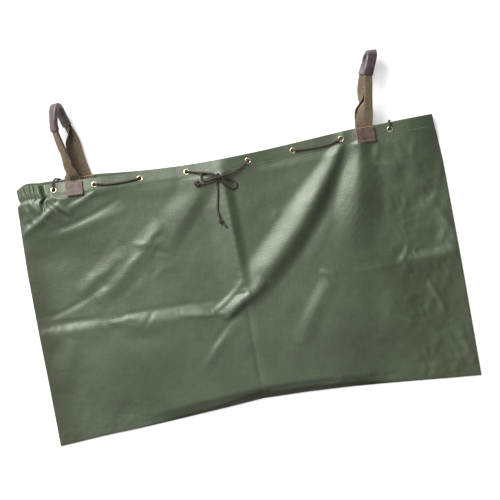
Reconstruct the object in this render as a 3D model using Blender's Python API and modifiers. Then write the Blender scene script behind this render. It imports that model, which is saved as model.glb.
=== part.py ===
"""Game transport sack lying on its back panel: two canvas panels sewn at three sides, open at the hem.

X runs along the width, +Y towards the mouth and its handles, +Z up; the origin is on the surface that
the sack lies on, under the middle of the cloth. All sizes below are in millimetres.
"""

from collections import namedtuple
import math

import bmesh
import bpy
from mathutils import Matrix, Vector
import numpy as np

MM = 0.001
GAP = 0.3
FACET_GAP = 0.5

SACK_WIDTH = 1000.0
SACK_DEPTH = 620.0
CANVAS = 1.2
HEM_WALL = 2.4
HEM_DEPTH = 28.0
HEM_RAMP = 47.0
HEM_LIFT = 7.9
MOUTH_RISE = 19.0
BELLY_RISE = 10.0
SEAM_SLOPE_RUN = 75.0
BOTTOM_SLOPE_RUN = 60.0
CREST_X = 40.0

PLEAT_PITCH = 14.0
PLEAT_HEIGHT = 2.6
PLEAT_FROM_X = -493.0
PLEAT_TO_X = -444.0
TUCK_X = -440.0
TUCK_DEPTH = 7.0

Rim = namedtuple("Rim", "x bottom front_top back_top hem_wave")
RIMS = (
    Rim(-500, -310.0, 300.0, 300.0, 0.0),
    Rim(-483, -309.0, 305.5, 309.5, -0.5),
    Rim(-444, -306.5, 302.0, 308.6, -2.0),
    Rim(-400, -303.5, 301.0, 307.5, -3.0),
    Rim(-365, -302.0, 299.5, 306.5, 0.5),
    Rim(-320, -300.5, 298.0, 307.0, 4.0),
    Rim(-250, -296.5, 295.0, 300.5, 1.0),
    Rim(-200, -293.5, 293.5, 296.0, -1.0),
    Rim(-100, -287.0, 290.0, 290.5, 0.5),
    Rim(-12, -280.5, 289.5, 286.5, 3.5),
    Rim(100, -283.5, 293.5, 289.5, -2.0),
    Rim(200, -289.0, 299.5, 294.0, -1.0),
    Rim(300, -297.0, 306.0, 301.0, 2.0),
    Rim(360, -302.5, 306.0, 303.5, -0.5),
    Rim(430, -309.0, 308.0, 305.5, -1.0),
    Rim(500, -315.0, 310.0, 310.0, 0.0),
)
Side = namedtuple("Side", "y left right")
SIDES = (
    Side(-310, -501.5, 503.5),
    Side(-160, -504.0, 503.5),
    Side(-40, -507.0, 503.5),
    Side(110, -509.0, 502.0),
    Side(200, -507.5, 501.0),
    Side(258, -505.7, 497.5),
    Side(271, -504.3, 496.0),
    Side(278, -495.7, 495.0),
    Side(291, -499.3, 493.5),
    Side(310, -500.0, 493.5),
)

Fold = namedtuple("Fold", "name x0 y0 x1 y1 x2 y2 height left right")
FOLDS = (
    Fold("right shoulder ridge", 262, 268, 150, 118, 20, -40, 15, 48, 58),
    Fold("handle ridge", 330, 262, 262, 115, 212, -30, 9, 80, 48),
    Fold("valley by the right shoulder", 292, 262, 205, 140, 120, 30, -5, 34, 30),
    Fold("centre crease", -15, 300, -12, 130, -12, -10, 6, 40, 34),
    Fold("centre crease below", -12, -30, -10, -150, -9, -280, -1.8, 12, 12),
    Fold("cross crease left", -498, -40, -300, -52, -90, -56, 5, 60, 20),
    Fold("cross crease middle", -150, -58, -70, -45, -8, -10, 5, 38, 22),
    Fold("cross crease right", 20, -20, 250, -24, 500, -22, 2.5, 40, 22),
    Fold("upper band", -165, 175, -290, 85, -405, 28, 6, 30, 26),
    Fold("lower band", -120, 130, -250, 42, -375, -12, 7, 34, 30),
    Fold("corner band", -240, 218, -340, 186, -430, 165, 5, 36, 20),
    Fold("corner crease", -498, 200, -455, 226, -400, 250, 4, 22, 26),
    Fold("crease by the seam", -500, -14, -410, 4, -325, 46, -3, 18, 18),
    Fold("bow swell", -50, 250, -100, 205, -150, 150, 4, 50, 40),
    Fold("left lower streak", -45, -80, -92, -132, -130, -190, 4, 22, 22),
    Fold("right lower streak", 182, -42, 155, -85, 118, -170, 5, 30, 28),
    Fold("right side fold", 455, 110, 478, 70, 498, 35, 4, 26, 22),
    Fold("right lower fold", 400, -60, 430, -110, 450, -160, 3.5, 30, 26),
)

RUFFLE_COLUMNS = (-500, -493, -486, -479, -472, -465, -458, -451, -444, -440, -434)
FRONT_COLUMNS = RUFFLE_COLUMNS + (
    -427, -399, -386, -344, -332, -300, -264, -224, -194, -150, -112, -84, -44, -12,
    14, 34, 62, 100, 142, 170, 214, 258, 286, 308, 350, 375, 403, 444, 476, 500,
)
FRONT_ROWS = (-310, -288, -252, -205, -150, -105, -72, -50, -30, -6, 28, 68, 110, 150, 190, 216)
BACK_COLUMNS = (
    -500, -486, -464, -440, -410, -370, -330, -280, -220, -150, -80, -12,
    60, 130, 200, 260, 310, 350, 400, 450, 484, 500,
)
BACK_ROWS = (-310, -190, -60, 70, 190)
HEM_ROWS = (238, 252, 265, 277, 281, 295, 310)

EYELET_BORE_R = 4.2
EYELET_BARREL_R = 5.0
EYELET_R = 8.2
EYELET_RIM = 1.9
EYELET_CROWN = 2.6
EYELET_STEPS = 8
EYELET_SET_IN = 15.5
EYELET_HOLE_R = 5.6
EYELET_HOLE_DEPTH = 12.0
FRONT_EYELETS_X = (-413, -316, -209, -98, 48, 156, 272, 389)
BACK_EYELETS_X = (-387, -290, -188, -80, 58, 162, 272, 386)

CORD = 4.5
CORD_LIE = CORD / 2 + FACET_GAP
LACING_STEP = 30.0
BOW_STEP = 9.0

WEB_WIDTH = 38.0
WEB_WALL = 1.8
WEB_FOLD_REGION = 2.5
WEB_FOLD_TURN = math.radians(174)
PATCH_WIDTH = 42.0
PATCH_HEIGHT = 33.0
PATCH_WALL = 1.8
PATCH_DROP = 1.0
PATCH_GAP = 0.9
GRIP_HALF_WIDTH = 11.8
GRIP_HALF_DEPTH = 5.8
GRIP_CHAMFER = 1.6
GRIP_WALL = 1.8

Leg = namedtuple("Leg", "x y z lean fold sleeve")
LEFT_HANDLE = (
    Leg(-365.5, 272, None, 0, 0.00, 0),
    Leg(-365.5, 288, None, 0, 0.00, 0),
    Leg(-365.8, 302, None, 0, 0.02, 0),
    Leg(-367.5, 314, 34.5, 3, 0.18, 0),
    Leg(-369.5, 331, 36.5, 7, 0.40, 0),
    Leg(-373.0, 352, 38.5, 12, 0.70, 0),
    Leg(-376.5, 374, 40.5, 18, 0.92, 0),
    Leg(-382.0, 396, 42.0, 34, 1.00, 0),
    Leg(-387.5, 421, 43.0, 45, 1.00, 1),
    Leg(-385.0, 452, 42.5, 47, 1.00, 1),
    Leg(-380.5, 472, 38.5, 52, 1.00, 1),
    Leg(-374.5, 480, 29.0, 54, 1.00, 1),
    Leg(-369.0, 472, 19.5, 52, 1.00, 1),
    Leg(-364.5, 455, 14.5, 48, 1.00, 1),
    Leg(-357.0, 431, 13.0, 45, 1.00, 1),
    Leg(-353.0, 411, 11.5, 34, 0.70, 0),
    Leg(-350.5, 390, 9.5, 15, 0.22, 0),
    Leg(-346.5, 364, 7.8, 6, 0.08, 0),
    Leg(-340.5, 334, 6.6, 0, 0.00, 0),
    Leg(-335.5, 312, None, 0, 0.00, 0),
    Leg(-333.5, 290, None, 0, 0.00, 0),
    Leg(-333.5, 277, None, 0, 0.00, 0),
)
RIGHT_HANDLE = (
    Leg(329.0, 276, None, 0, 0.00, 0),
    Leg(329.5, 292, None, 0, 0.00, 0),
    Leg(331.0, 308, None, 0, 0.00, 0),
    Leg(335.0, 330, 36.0, 0, 0.05, 0),
    Leg(341.5, 350, 37.5, -5, 0.35, 0),
    Leg(349.5, 370, 39.0, -20, 0.80, 0),
    Leg(353.5, 389, 40.0, -36, 0.98, 0),
    Leg(358.5, 408, 41.0, -50, 1.00, 0),
    Leg(363.0, 425, 41.5, -60, 1.00, 1),
    Leg(371.5, 451, 40.0, -65, 1.00, 1),
    Leg(377.0, 469, 36.0, -65, 1.00, 1),
    Leg(376.5, 477, 26.5, -65, 1.00, 1),
    Leg(369.0, 469, 17.5, -65, 1.00, 1),
    Leg(361.5, 450, 13.5, -65, 1.00, 1),
    Leg(352.5, 428, 12.0, -60, 1.00, 1),
    Leg(346.5, 408, 12.0, -50, 1.00, 0),
    Leg(341.5, 389, 11.5, -36, 0.95, 0),
    Leg(337.0, 370, 10.0, -20, 0.65, 0),
    Leg(332.5, 350, 8.2, -6, 0.25, 0),
    Leg(328.0, 329, 6.8, 0, 0.00, 0),
    Leg(324.0, 307, None, 0, 0.00, 0),
    Leg(322.0, 287, None, 0, 0.00, 0),
    Leg(322.0, 274, None, 0, 0.00, 0),
)
LEG_STEP = 21.0
SLEEVE_STEP = 8.0

KNOT_AT = (-28.6, 251.5)
KNOT_RADII = (7.0, 7.5, 5.5)
LEFT_END_KNOT_AT = (-78.6, 243.0)
RIGHT_END_KNOT_AT = (-37.5, 148.0)
END_KNOT_RADII = (7.5, 7.0, 5.5)
BOW_LIE = 0.4
KNOT_HEIGHT = 3.4
LEFT_LOOP = (
    (-35.2, 256.9), (-45, 259.8), (-54, 261.8), (-62, 260.5), (-66, 256),
    (-64, 250.8), (-57, 248.2), (-47, 248.6), (-36.1, 250.8),
)
RIGHT_LOOP = (
    (-22.2, 247.2), (-12, 241.0), (-2, 234), (7, 228.0), (13, 222.5),
    (11, 217.8), (4, 217.8), (-6, 221.5), (-16, 229.5), (-25.4, 243.9),
)
LEFT_END = ((-33.8, 246.8), (-46, 242), (-57, 240.2), (-65, 239.8), (-70.9, 240.9))
RIGHT_END = (
    (-31.5, 243.8), (-31.8, 230), (-34, 210), (-38.3, 189),
    (-41.2, 173), (-40.2, 164), (-38.0, 155.6),
)
TAIL = ((-33.2, 140.9), (-30.5, 136.5), (-26.5, 129.5))

SHARP_TURN = math.radians(35)

COLOURS = {
    "canvas": ((0.105, 0.125, 0.092), 0.62, 0.0),
    "webbing": ((0.150, 0.107, 0.075), 0.85, 0.0),
    "patch leather": ((0.150, 0.098, 0.080), 0.55, 0.0),
    "grip leather": ((0.100, 0.068, 0.066), 0.42, 0.0),
    "brass": ((0.560, 0.520, 0.300), 0.32, 1.0),
    "cord": ((0.085, 0.060, 0.045), 0.80, 0.0),
}


def clear_scene():
    for item in list(bpy.data.objects):
        bpy.data.objects.remove(item, do_unlink=True)


def new_collection(name):
    group = bpy.data.collections.new(name)
    bpy.context.scene.collection.children.link(group)
    return group


def material(kind):
    """The material of one kind of stuff, made the first time it is asked for."""
    found = bpy.data.materials.get(kind)
    if found:
        return found
    colour, roughness, metallic = COLOURS[kind]
    made = bpy.data.materials.new(kind)
    made.use_nodes = True
    shader = made.node_tree.nodes["Principled BSDF"]
    shader.inputs["Base Color"].default_value = (*colour, 1.0)
    shader.inputs["Roughness"].default_value = roughness
    shader.inputs["Metallic"].default_value = metallic
    made.diffuse_color = (*colour, 1.0)
    return made


def smooth_step(t):
    t = np.clip(t, 0.0, 1.0)
    return t * t * (3.0 - 2.0 * t)


def swell(distance, run):
    """0 at a seam, 1 from one run away: cloth leaves its seam steeply and rounds over."""
    t = np.clip(distance / run, 0.0, 1.0)
    return 1.0 - (1.0 - t) ** 2


def through(at, values, t):
    """A smooth curve through rows of values placed at rising positions."""
    at = np.asarray(at, float)
    values = np.asarray(values, float)
    slope = np.gradient(values, at, axis=0)
    t = np.asarray(t, float)
    i = np.clip(np.searchsorted(at, t, side="right") - 1, 0, len(at) - 2)
    step = at[i + 1] - at[i]
    s = (t - at[i]) / step
    if values.ndim == 2:
        s = s[:, None]
        step = step[:, None]
    return (
        (2 * s**3 - 3 * s**2 + 1) * values[i]
        + (s**3 - 2 * s**2 + s) * step * slope[i]
        + (3 * s**2 - 2 * s**3) * values[i + 1]
        + (s**3 - s**2) * step * slope[i + 1]
    )


def rim(column, x):
    return np.interp(x, [row.x for row in RIMS], [getattr(row, column) for row in RIMS])


def smooth_rim(column, x):
    return through([row.x for row in RIMS], [getattr(row, column) for row in RIMS], np.clip(x, -500, 500))


def side(column, y):
    return np.interp(y, [row.y for row in SIDES], [getattr(row, column) for row in SIDES])


def fold_relief(x, y, fold):
    """The rise of one fold: a quadratic arc whose two flanks fall away over their own widths."""
    t = np.linspace(0.0, 1.0, 25)
    ax = (1 - t) ** 2 * fold.x0 + 2 * t * (1 - t) * fold.x1 + t**2 * fold.x2
    ay = (1 - t) ** 2 * fold.y0 + 2 * t * (1 - t) * fold.y1 + t**2 * fold.y2
    dx = x[..., None] - ax
    dy = y[..., None] - ay
    near = np.argmin(dx * dx + dy * dy, axis=-1)
    rows = np.indices(near.shape)
    dx = dx[(*rows, near)]
    dy = dy[(*rows, near)]
    tx = np.gradient(ax)[near]
    ty = np.gradient(ay)[near]
    run = np.hypot(tx, ty)
    across = (tx * dy - ty * dx) / run
    beyond = np.abs(tx * dx + ty * dy) / run
    width = np.where(across > 0, fold.left, fold.right)
    flank = np.clip(1.0 - np.hypot(across, beyond) / width, 0.0, 1.0)
    ends = np.sin(math.pi * np.clip(t[near], 0.0, 1.0)) ** 0.6
    return fold.height * ends * flank * flank * (3.0 - 2.0 * flank)


def panel_point(face, across, along):
    """The middle of a panel's wall at nominal cloth coordinates, as x, y, z arrays."""
    across = np.asarray(across, float)
    along = np.asarray(along, float)
    left = side("left", along)
    right = side("right", along)
    x = left + (right - left) * (across / SACK_WIDTH + 0.5)
    bottom = rim("bottom", across)
    top = smooth_rim(face + "_top", across)
    y = bottom + (top - bottom) * (along / SACK_DEPTH + 0.5)
    below_top = top - y
    back = CANVAS / 2 + HEM_LIFT * smooth_step((HEM_DEPTH + HEM_RAMP - below_top) / HEM_RAMP)
    if face == "back":
        return x, y, back
    hem = smooth_step((HEM_DEPTH + 22 - below_top) / 20)
    wall = CANVAS + (HEM_WALL - CANVAS) * smooth_step((HEM_DEPTH + 12 - below_top) / 12)
    free = (
        swell(across + SACK_WIDTH / 2, SEAM_SLOPE_RUN)
        * swell(SACK_WIDTH / 2 - across, SEAM_SLOPE_RUN)
        * swell(along + SACK_DEPTH / 2, BOTTOM_SLOPE_RUN)
    )
    belly = BELLY_RISE * (1 - ((across - CREST_X) / 560) ** 2) * (1 - hem) * np.cos(math.pi * along / 700)
    relief = sum(fold_relief(x, y, fold) for fold in FOLDS) * (1 - 0.9 * hem)
    lift = MOUTH_RISE + belly + relief + hem * smooth_rim("hem_wave", across)
    in_ruffle = smooth_step((across - PLEAT_FROM_X) / 7) * smooth_step((PLEAT_TO_X - across) / 7)
    waves = PLEAT_HEIGHT * np.cos(2 * math.pi * (across - PLEAT_FROM_X) / PLEAT_PITCH)
    waves *= in_ruffle * np.exp(-(((below_top - HEM_DEPTH) / 34) ** 2))
    tuck = -TUCK_DEPTH * np.clip(1 - np.abs(across - TUCK_X) / 8, 0, 1) * smooth_step((62 - below_top) / 40)
    return x, y, back + wall + GAP + free * lift + waves + tuck


def cloth_of(face, x, y):
    """The nominal cloth coordinates under a real place on a panel."""
    across, along = float(x), float(y)
    for _ in range(6):
        px, py, _ = panel_point(face, np.array(across), np.array(along))
        across += float(x - px)
        along += float(y - py)
    return across, along


def panel_frame(face, x, y, reach=6.0):
    """A place on a panel's middle, with its outward normal and its tangents along X and Y."""
    across, along = cloth_of(face, x, y)
    span_x = [np.array(panel_point(face, np.array(across + s * reach), np.array(along))) for s in (-1, 1)]
    span_y = [np.array(panel_point(face, np.array(across), np.array(along + s * 6.0))) for s in (-1, 1)]
    middle = np.array(panel_point(face, np.array(across), np.array(along)))
    tx = Vector((span_x[1] - span_x[0]).tolist()).normalized()
    normal = tx.cross(Vector((span_y[1] - span_y[0]).tolist())).normalized()
    if face == "back":
        normal = -normal
    return Vector(middle.tolist()), normal, tx, normal.cross(tx)


def off_panel(face, x, y, height):
    """A place that stands this far off the middle of a panel, outwards if positive."""
    middle, normal, _, _ = panel_frame(face, x, y)
    return middle + normal * height


def add_object(name, mesh, group, kind):
    made = bpy.data.objects.new(name, mesh)
    if kind:
        mesh.materials.append(material(kind))
    group.objects.link(made)
    return made


def sheet(name, grid, wall, group, kind, around=False):
    """An open surface from a grid of points, thickened to a wall about it."""
    shape = bmesh.new()
    rows = [[shape.verts.new(Vector(point) * MM) for point in row] for row in grid]
    last = 0 if around else 1
    for low, high in zip(rows, rows[1:]):
        for i in range(len(low) - last):
            j = (i + 1) % len(low)
            shape.faces.new((low[i], low[j], high[j], high[i]))
    mesh = bpy.data.meshes.new(name)
    shape.to_mesh(mesh)
    shape.free()
    made = add_object(name, mesh, group, kind)
    thick = made.modifiers.new("wall", "SOLIDIFY")
    thick.thickness = wall * MM
    thick.offset = 0.0
    return made


def shade(made):
    made.data.shade_smooth()
    made.data.set_sharp_from_angle(angle=SHARP_TURN)


def panel(face, columns, rows, group, cutters):
    across, along = np.meshgrid(columns, rows + HEM_ROWS)
    x, y, z = panel_point(face, across, along)
    grid = np.stack((x, y, z), axis=-1).tolist()
    made = sheet("panel_" + face, grid, HEM_WALL, group, "canvas")
    hem = made.vertex_groups.new(name="hem")
    hem_top = HEM_ROWS[4] - 1
    folded = [i for i, value in enumerate(along.ravel()) if value > hem_top]
    hem.add(folded, 1.0, "REPLACE")
    thick = made.modifiers["wall"]
    thick.vertex_group = "hem"
    thick.thickness_vertex_group = CANVAS / HEM_WALL
    for cutter in cutters:
        cut = made.modifiers.new("eyelet hole", "BOOLEAN")
        cut.operation = "DIFFERENCE"
        cut.object = cutter
    shade(made)
    return made


def eyelet_seat(face, x):
    """Where an eyelet sits: the turn that takes +Z to the hem's outward normal, and its middle."""
    top = float(smooth_rim(face + "_top", np.array(float(x))))
    middle, normal, tx, ty = panel_frame(face, x, top - EYELET_SET_IN, reach=14.0)
    turn = Matrix((tx, ty, normal)).transposed().to_4x4()
    return Matrix.Translation(middle * MM) @ turn, middle, normal


def hole_cutter(name, seat, group):
    shape = bmesh.new()
    bmesh.ops.create_cone(
        shape,
        cap_ends=True,
        segments=EYELET_STEPS,
        radius1=EYELET_HOLE_R * MM,
        radius2=EYELET_HOLE_R * MM,
        depth=EYELET_HOLE_DEPTH * MM,
    )
    mesh = bpy.data.meshes.new(name)
    shape.to_mesh(mesh)
    shape.free()
    made = add_object(name, mesh, group, None)
    made.matrix_world = seat
    made.hide_render = True
    made.display_type = "WIRE"
    return made


def eyelet(name, seat, group):
    """A brass eyelet: its H-shaped profile, turned about its bore."""
    profile = (
        (EYELET_BORE_R, EYELET_CROWN),
        (EYELET_R, EYELET_RIM),
        (EYELET_BARREL_R, EYELET_RIM - 0.2),
        (EYELET_BARREL_R, -EYELET_RIM + 0.2),
        (EYELET_R, -EYELET_RIM),
        (EYELET_BORE_R, -EYELET_CROWN),
    )
    mesh = bpy.data.meshes.new(name)
    points = [(r * MM, 0.0, z * MM) for r, z in profile]
    edges = [(i, (i + 1) % len(points)) for i in range(len(points))]
    mesh.from_pydata(points, edges, [])
    made = add_object(name, mesh, group, "brass")
    made.matrix_world = seat
    turn = made.modifiers.new("turn", "SCREW")
    turn.steps = EYELET_STEPS
    turn.render_steps = EYELET_STEPS
    turn.use_merge_vertices = True
    turn.merge_threshold = 0.00005
    return made


def cord(name, points, group):
    """A round cord along points that already lie on a smooth curve."""
    curve = bpy.data.curves.new(name, "CURVE")
    curve.dimensions = "3D"
    curve.bevel_depth = CORD / 2 * MM
    curve.bevel_resolution = 2
    curve.use_fill_caps = True
    line = curve.splines.new("POLY")
    line.points.add(len(points) - 1)
    for place, point in zip(line.points, points):
        place.co = (*(Vector(point) * MM), 1.0)
    made = bpy.data.objects.new(name, curve)
    curve.materials.append(material("cord"))
    group.objects.link(made)
    return made


def smooth_route(points, step):
    """Points read off one smooth curve through a route's own points, about a step apart."""
    points = np.array([tuple(point) for point in points])
    runs = np.linalg.norm(np.diff(points, axis=0), axis=1)
    at = np.concatenate(([0.0], np.cumsum(np.sqrt(runs))))
    t = [at[0]]
    for start, end, run in zip(at, at[1:], runs):
        count = max(1, round(run / step))
        t.extend(np.linspace(start, end, count + 1)[1:])
    return through(at, points, t).tolist()


def on_front(x, y, extra=0.0):
    """A cord's middle where it lies on the front panel."""
    return off_panel("front", x, y, wall_half("front", x, y) + CORD_LIE + extra)


def wall_half(face, x, y):
    top = float(smooth_rim(face + "_top", np.array(float(x))))
    return (HEM_WALL if top - y < HEM_DEPTH + 6 else CANVAS) / 2


def through_eyelet(seats, face, number, towards):
    """Points of the cord as it comes out of an eyelet's bore on one side and lies down beside it.

    towards is the end that it leaves to: a heading on the hem, and +1 for outside or -1 for inside.
    """
    _, middle, normal = seats[face, number]
    heading, out = towards
    heading = (heading - normal * heading.dot(normal)).normalized()
    steps = ((0.5, 3.2), (3.7, 6.1), (12.5, 4.9))
    return [middle + heading * run + normal * out * rise for run, rise in steps]


def strand(seats, face, a, b, out, middles):
    """One strand of the lacing from eyelet a to eyelet b of a face, by way of its middles."""
    start = seats[face, a][1]
    end = seats[face, b][1]
    first = Vector(middles[0]) - start if middles else end - start
    last = Vector(middles[-1]) - end if middles else start - end
    leave = through_eyelet(seats, face, a, (first, out))
    reach = through_eyelet(seats, face, b, (last, out))
    return leave + [Vector(place) for place in middles] + reach[::-1]


def hem_places(face, places, height):
    """Places on a hem, each this far off its middle, outwards if positive."""
    return [off_panel(face, x, y, height) for x, y in places]


def lacing_route(seats):
    """The drawcord's whole run: from the bow round the mouth and back to the bow."""
    outside = HEM_WALL / 2 + CORD_LIE + 0.2
    behind_patch = -(HEM_WALL / 2 + PATCH_GAP + PATCH_WALL + CORD_LIE + 1.5)
    inside = -(HEM_WALL / 2 + CORD_LIE + 0.6)
    start = ((-34.4, 253.0, 8.4), (-47, 257.3, 7.8), (-60, 262.3, 6.8), (-76, 268.3, 3.0))
    route = [on_front(*place) for place in start]
    route += through_eyelet(seats, "front", 3, (route[-1] - seats["front", 3][1], 1))[::-1]
    route += strand(seats, "front", 3, 2, -1, hem_places("front", ((-154, 277),), inside))
    slack = ((-236, 276.5), (-262, 276), (-290, 277.5))
    route += strand(seats, "front", 2, 1, 1, hem_places("front", slack, outside))
    route += strand(seats, "front", 1, 0, -1, hem_places("front", ((-365, 283),), behind_patch))
    route += over_the_hems(seats, 0)
    route += strand(seats, "back", 0, 1, -1, hem_places("back", ((-352, 289), (-315, 289)), behind_patch))
    route += strand(seats, "back", 1, 2, 1, hem_places("back", ((-240, 282),), outside))
    route += strand(seats, "back", 2, 3, -1, hem_places("back", ((-134, 276),), inside))
    route += strand(seats, "back", 3, 4, 1, hem_places("back", ((-11, 268),), outside))
    route += strand(seats, "back", 4, 5, -1, hem_places("back", ((110, 273),), inside))
    route += strand(seats, "back", 5, 6, 1, hem_places("back", ((217, 277),), outside))
    route += strand(seats, "back", 6, 7, -1, hem_places("back", ((325, 286),), behind_patch))
    route += over_the_hems(seats, 7)[::-1]
    route += strand(seats, "front", 7, 6, -1, hem_places("front", ((330, 288),), behind_patch))
    slack = ((244, 279), (215, 276.5), (180, 278))
    route += strand(seats, "front", 6, 5, 1, hem_places("front", slack, outside))
    route += strand(seats, "front", 5, 4, -1, hem_places("front", ((102, 278),), inside))
    finish = ((31, 264.5, 1.5), (20, 259.5, 1.5), (5, 254.5, 2.0), (-9, 251.8, 3.0), (-20.9, 252.0, 3.6))
    tail = [on_front(*place) for place in finish]
    route += through_eyelet(seats, "front", 4, (tail[0] - seats["front", 4][1], 1))
    return route + tail


def over_the_hems(seats, number):
    """The turn round both hems at an end of the mouth, from the front eyelet to the back one."""
    start = seats["front", number][1]
    end = seats["back", number][1]
    out_x = start.x + 2 if number == 0 else start.x + 3
    top_front = float(smooth_rim("front_top", np.array(out_x)))
    top_back = float(smooth_rim("back_top", np.array(end.x)))
    crest = max(top_front, top_back) + CORD_LIE + 1.5
    middle_x = (out_x + end.x) / 2
    places = [
        Vector((out_x - 2, top_front - 2.5, start.z + 5.8)),
        Vector((out_x - 2, top_front + 2.6, start.z + 4.4)),
        Vector((out_x, top_front + 4.4, start.z - 0.5)),
        Vector((middle_x, crest + 0.6, (start.z + end.z) / 2)),
        Vector((end.x - 1, top_back + 4.0, end.z + 1.5)),
        Vector((end.x, top_back + 3.0, end.z - 3.6)),
    ]
    up = Vector((0.0, 1.0, 0.0))
    leave = through_eyelet(seats, "front", number, (up, 1))[:2]
    reach = through_eyelet(seats, "back", number, (up, 1))[:2]
    return leave + places + reach[::-1]


def drawcord(seats, group):
    return cord("drawcord", smooth_route(lacing_route(seats), LACING_STEP), group)


def bow_piece(name, places, first_rise, last_rise, group):
    """A loop or an end of the bow: it lies on the front panel and rises at its ends to meet a knot."""
    rises = [BOW_LIE] * len(places)
    rises[0] += first_rise
    rises[-1] += last_rise
    route = [on_front(x, y, extra) for (x, y), extra in zip(places, rises)]
    return cord(name, smooth_route(route, BOW_STEP), group)


def knot(name, place, radii, lift, group):
    shape = bmesh.new()
    bmesh.ops.create_uvsphere(shape, u_segments=10, v_segments=6, radius=1.0)
    bmesh.ops.scale(shape, vec=Vector(radii) * MM, verts=shape.verts)
    mesh = bpy.data.meshes.new(name)
    shape.to_mesh(mesh)
    shape.free()
    made = add_object(name, mesh, group, "cord")
    made.location = off_panel("front", *place, CANVAS / 2 + FACET_GAP + radii[2] + lift) * MM
    made.data.shade_smooth()
    return made


def handle_rows(rows):
    """The handle's rows, with the heights and the lean of its sewn ends worked out from the hems."""
    cloth_gap = HEM_WALL / 2 + FACET_GAP + WEB_WALL / 2
    half = len(rows) // 2
    placed = []
    for i, row in enumerate(rows):
        if row.z is None:
            face = "front" if i < half else "back"
            top = float(smooth_rim(face + "_top", np.array(row.x)))
            middle, normal, _, _ = panel_frame(face, row.x, min(row.y, top - 6), reach=WEB_WIDTH / 2)
            place = middle + normal * cloth_gap
            up = normal if face == "front" else -normal
            row = row._replace(z=place.z, lean=math.degrees(math.atan2(up.x, up.z)))
        placed.append(row)
    return placed


def handle_sections(rows):
    """Points along a handle with its frame: middle, direction of the fold's stack, width direction."""
    rows = handle_rows(rows)
    places = np.array([(row.x, row.y, row.z) for row in rows])
    runs = np.linalg.norm(np.diff(places, axis=0), axis=1)
    at = np.concatenate(([0.0], np.cumsum(runs)))
    t = []
    for i, run in enumerate(runs):
        count = max(1, round(run / (SLEEVE_STEP if rows[i].sleeve else LEG_STEP)))
        t.extend(np.linspace(at[i], at[i + 1], count, endpoint=False))
    t.append(at[-1])
    middle = through(at, places, t)
    ahead = np.gradient(middle, axis=0)
    lean = np.radians(through(at, [row.lean for row in rows], t))
    fold = np.clip(through(at, [row.fold for row in rows], t), 0.0, 1.0)
    sleeved = [at[i] for i, row in enumerate(rows) if row.sleeve]
    sections = []
    for i, place in enumerate(middle):
        along = Vector(ahead[i]).normalized()
        stack = Vector((math.sin(lean[i]), 0.0, math.cos(lean[i])))
        stack = (stack - along * stack.dot(along)).normalized()
        inside = sleeved[0] - 0.1 <= t[i] <= sleeved[-1] + 0.1
        sections.append((Vector(place), stack, along.cross(stack), float(fold[i]), inside))
    return sections


def web_section(middle, stack, width, fold):
    """The webbing across one section: flat, or folded in half round a small radius."""
    turn = fold * WEB_FOLD_TURN / 2
    half = WEB_WIDTH / 2
    stations = (0.0, WEB_FOLD_REGION, half)
    side_points = [(0.0, 0.0)]
    for near, far in zip(stations, stations[1:]):
        heading = turn if near else turn / 2
        reach = far - near
        previous = side_points[-1]
        side_points.append((previous[0] + reach * math.cos(heading), previous[1] + reach * math.sin(heading)))
    centre = (side_points[0][1] + side_points[-1][1]) / 2
    left = [(-across, up - centre) for across, up in side_points[:0:-1]]
    right = [(across, up - centre) for across, up in side_points]
    return [tuple(middle + width * across + stack * up) for across, up in left + right]


def handle(name, rows, group):
    sections = handle_sections(rows)
    grid = [web_section(*section[:4]) for section in sections]
    webbing = sheet("webbing_" + name, grid, WEB_WALL, group, "webbing")
    shade(webbing)
    corner = (
        (GRIP_HALF_WIDTH, GRIP_HALF_DEPTH - GRIP_CHAMFER),
        (GRIP_HALF_WIDTH - GRIP_CHAMFER, GRIP_HALF_DEPTH),
    )
    outline = list(corner)
    outline += [(-up, across) for up, across in reversed(corner)]
    outline += [(-up, -across) for up, across in corner]
    outline += [(up, -across) for up, across in reversed(corner)]
    rings = [
        [tuple(middle + stack * up + width * across) for up, across in outline]
        for middle, stack, width, _, inside in sections
        if inside
    ]
    grip = sheet("grip_" + name, rings, GRIP_WALL, group, "grip leather", around=True)
    shade(grip)


def patch(name, face, x, outer, group):
    """A leather patch over or behind a handle's sewn end, following its hem."""
    top = float(smooth_rim(face + "_top", np.array(float(x)))) - PATCH_DROP
    under = FACET_GAP + WEB_WALL + FACET_GAP if outer else PATCH_GAP
    height = HEM_WALL / 2 + under + PATCH_WALL / 2
    height = height if outer else -height
    middle, normal, tx, ty = panel_frame(face, x, top - PATCH_HEIGHT / 2, reach=PATCH_WIDTH / 2)
    up = ty if ty.y > 0 else -ty
    grid = [
        [tuple(middle + normal * height + tx * i * PATCH_WIDTH / 4 + up * j * PATCH_HEIGHT / 2) for i in (-2, 0, 2)]
        for j in (-1, 1)
    ]
    made = sheet(name, grid, PATCH_WALL, group, "patch leather")
    shade(made)


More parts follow.
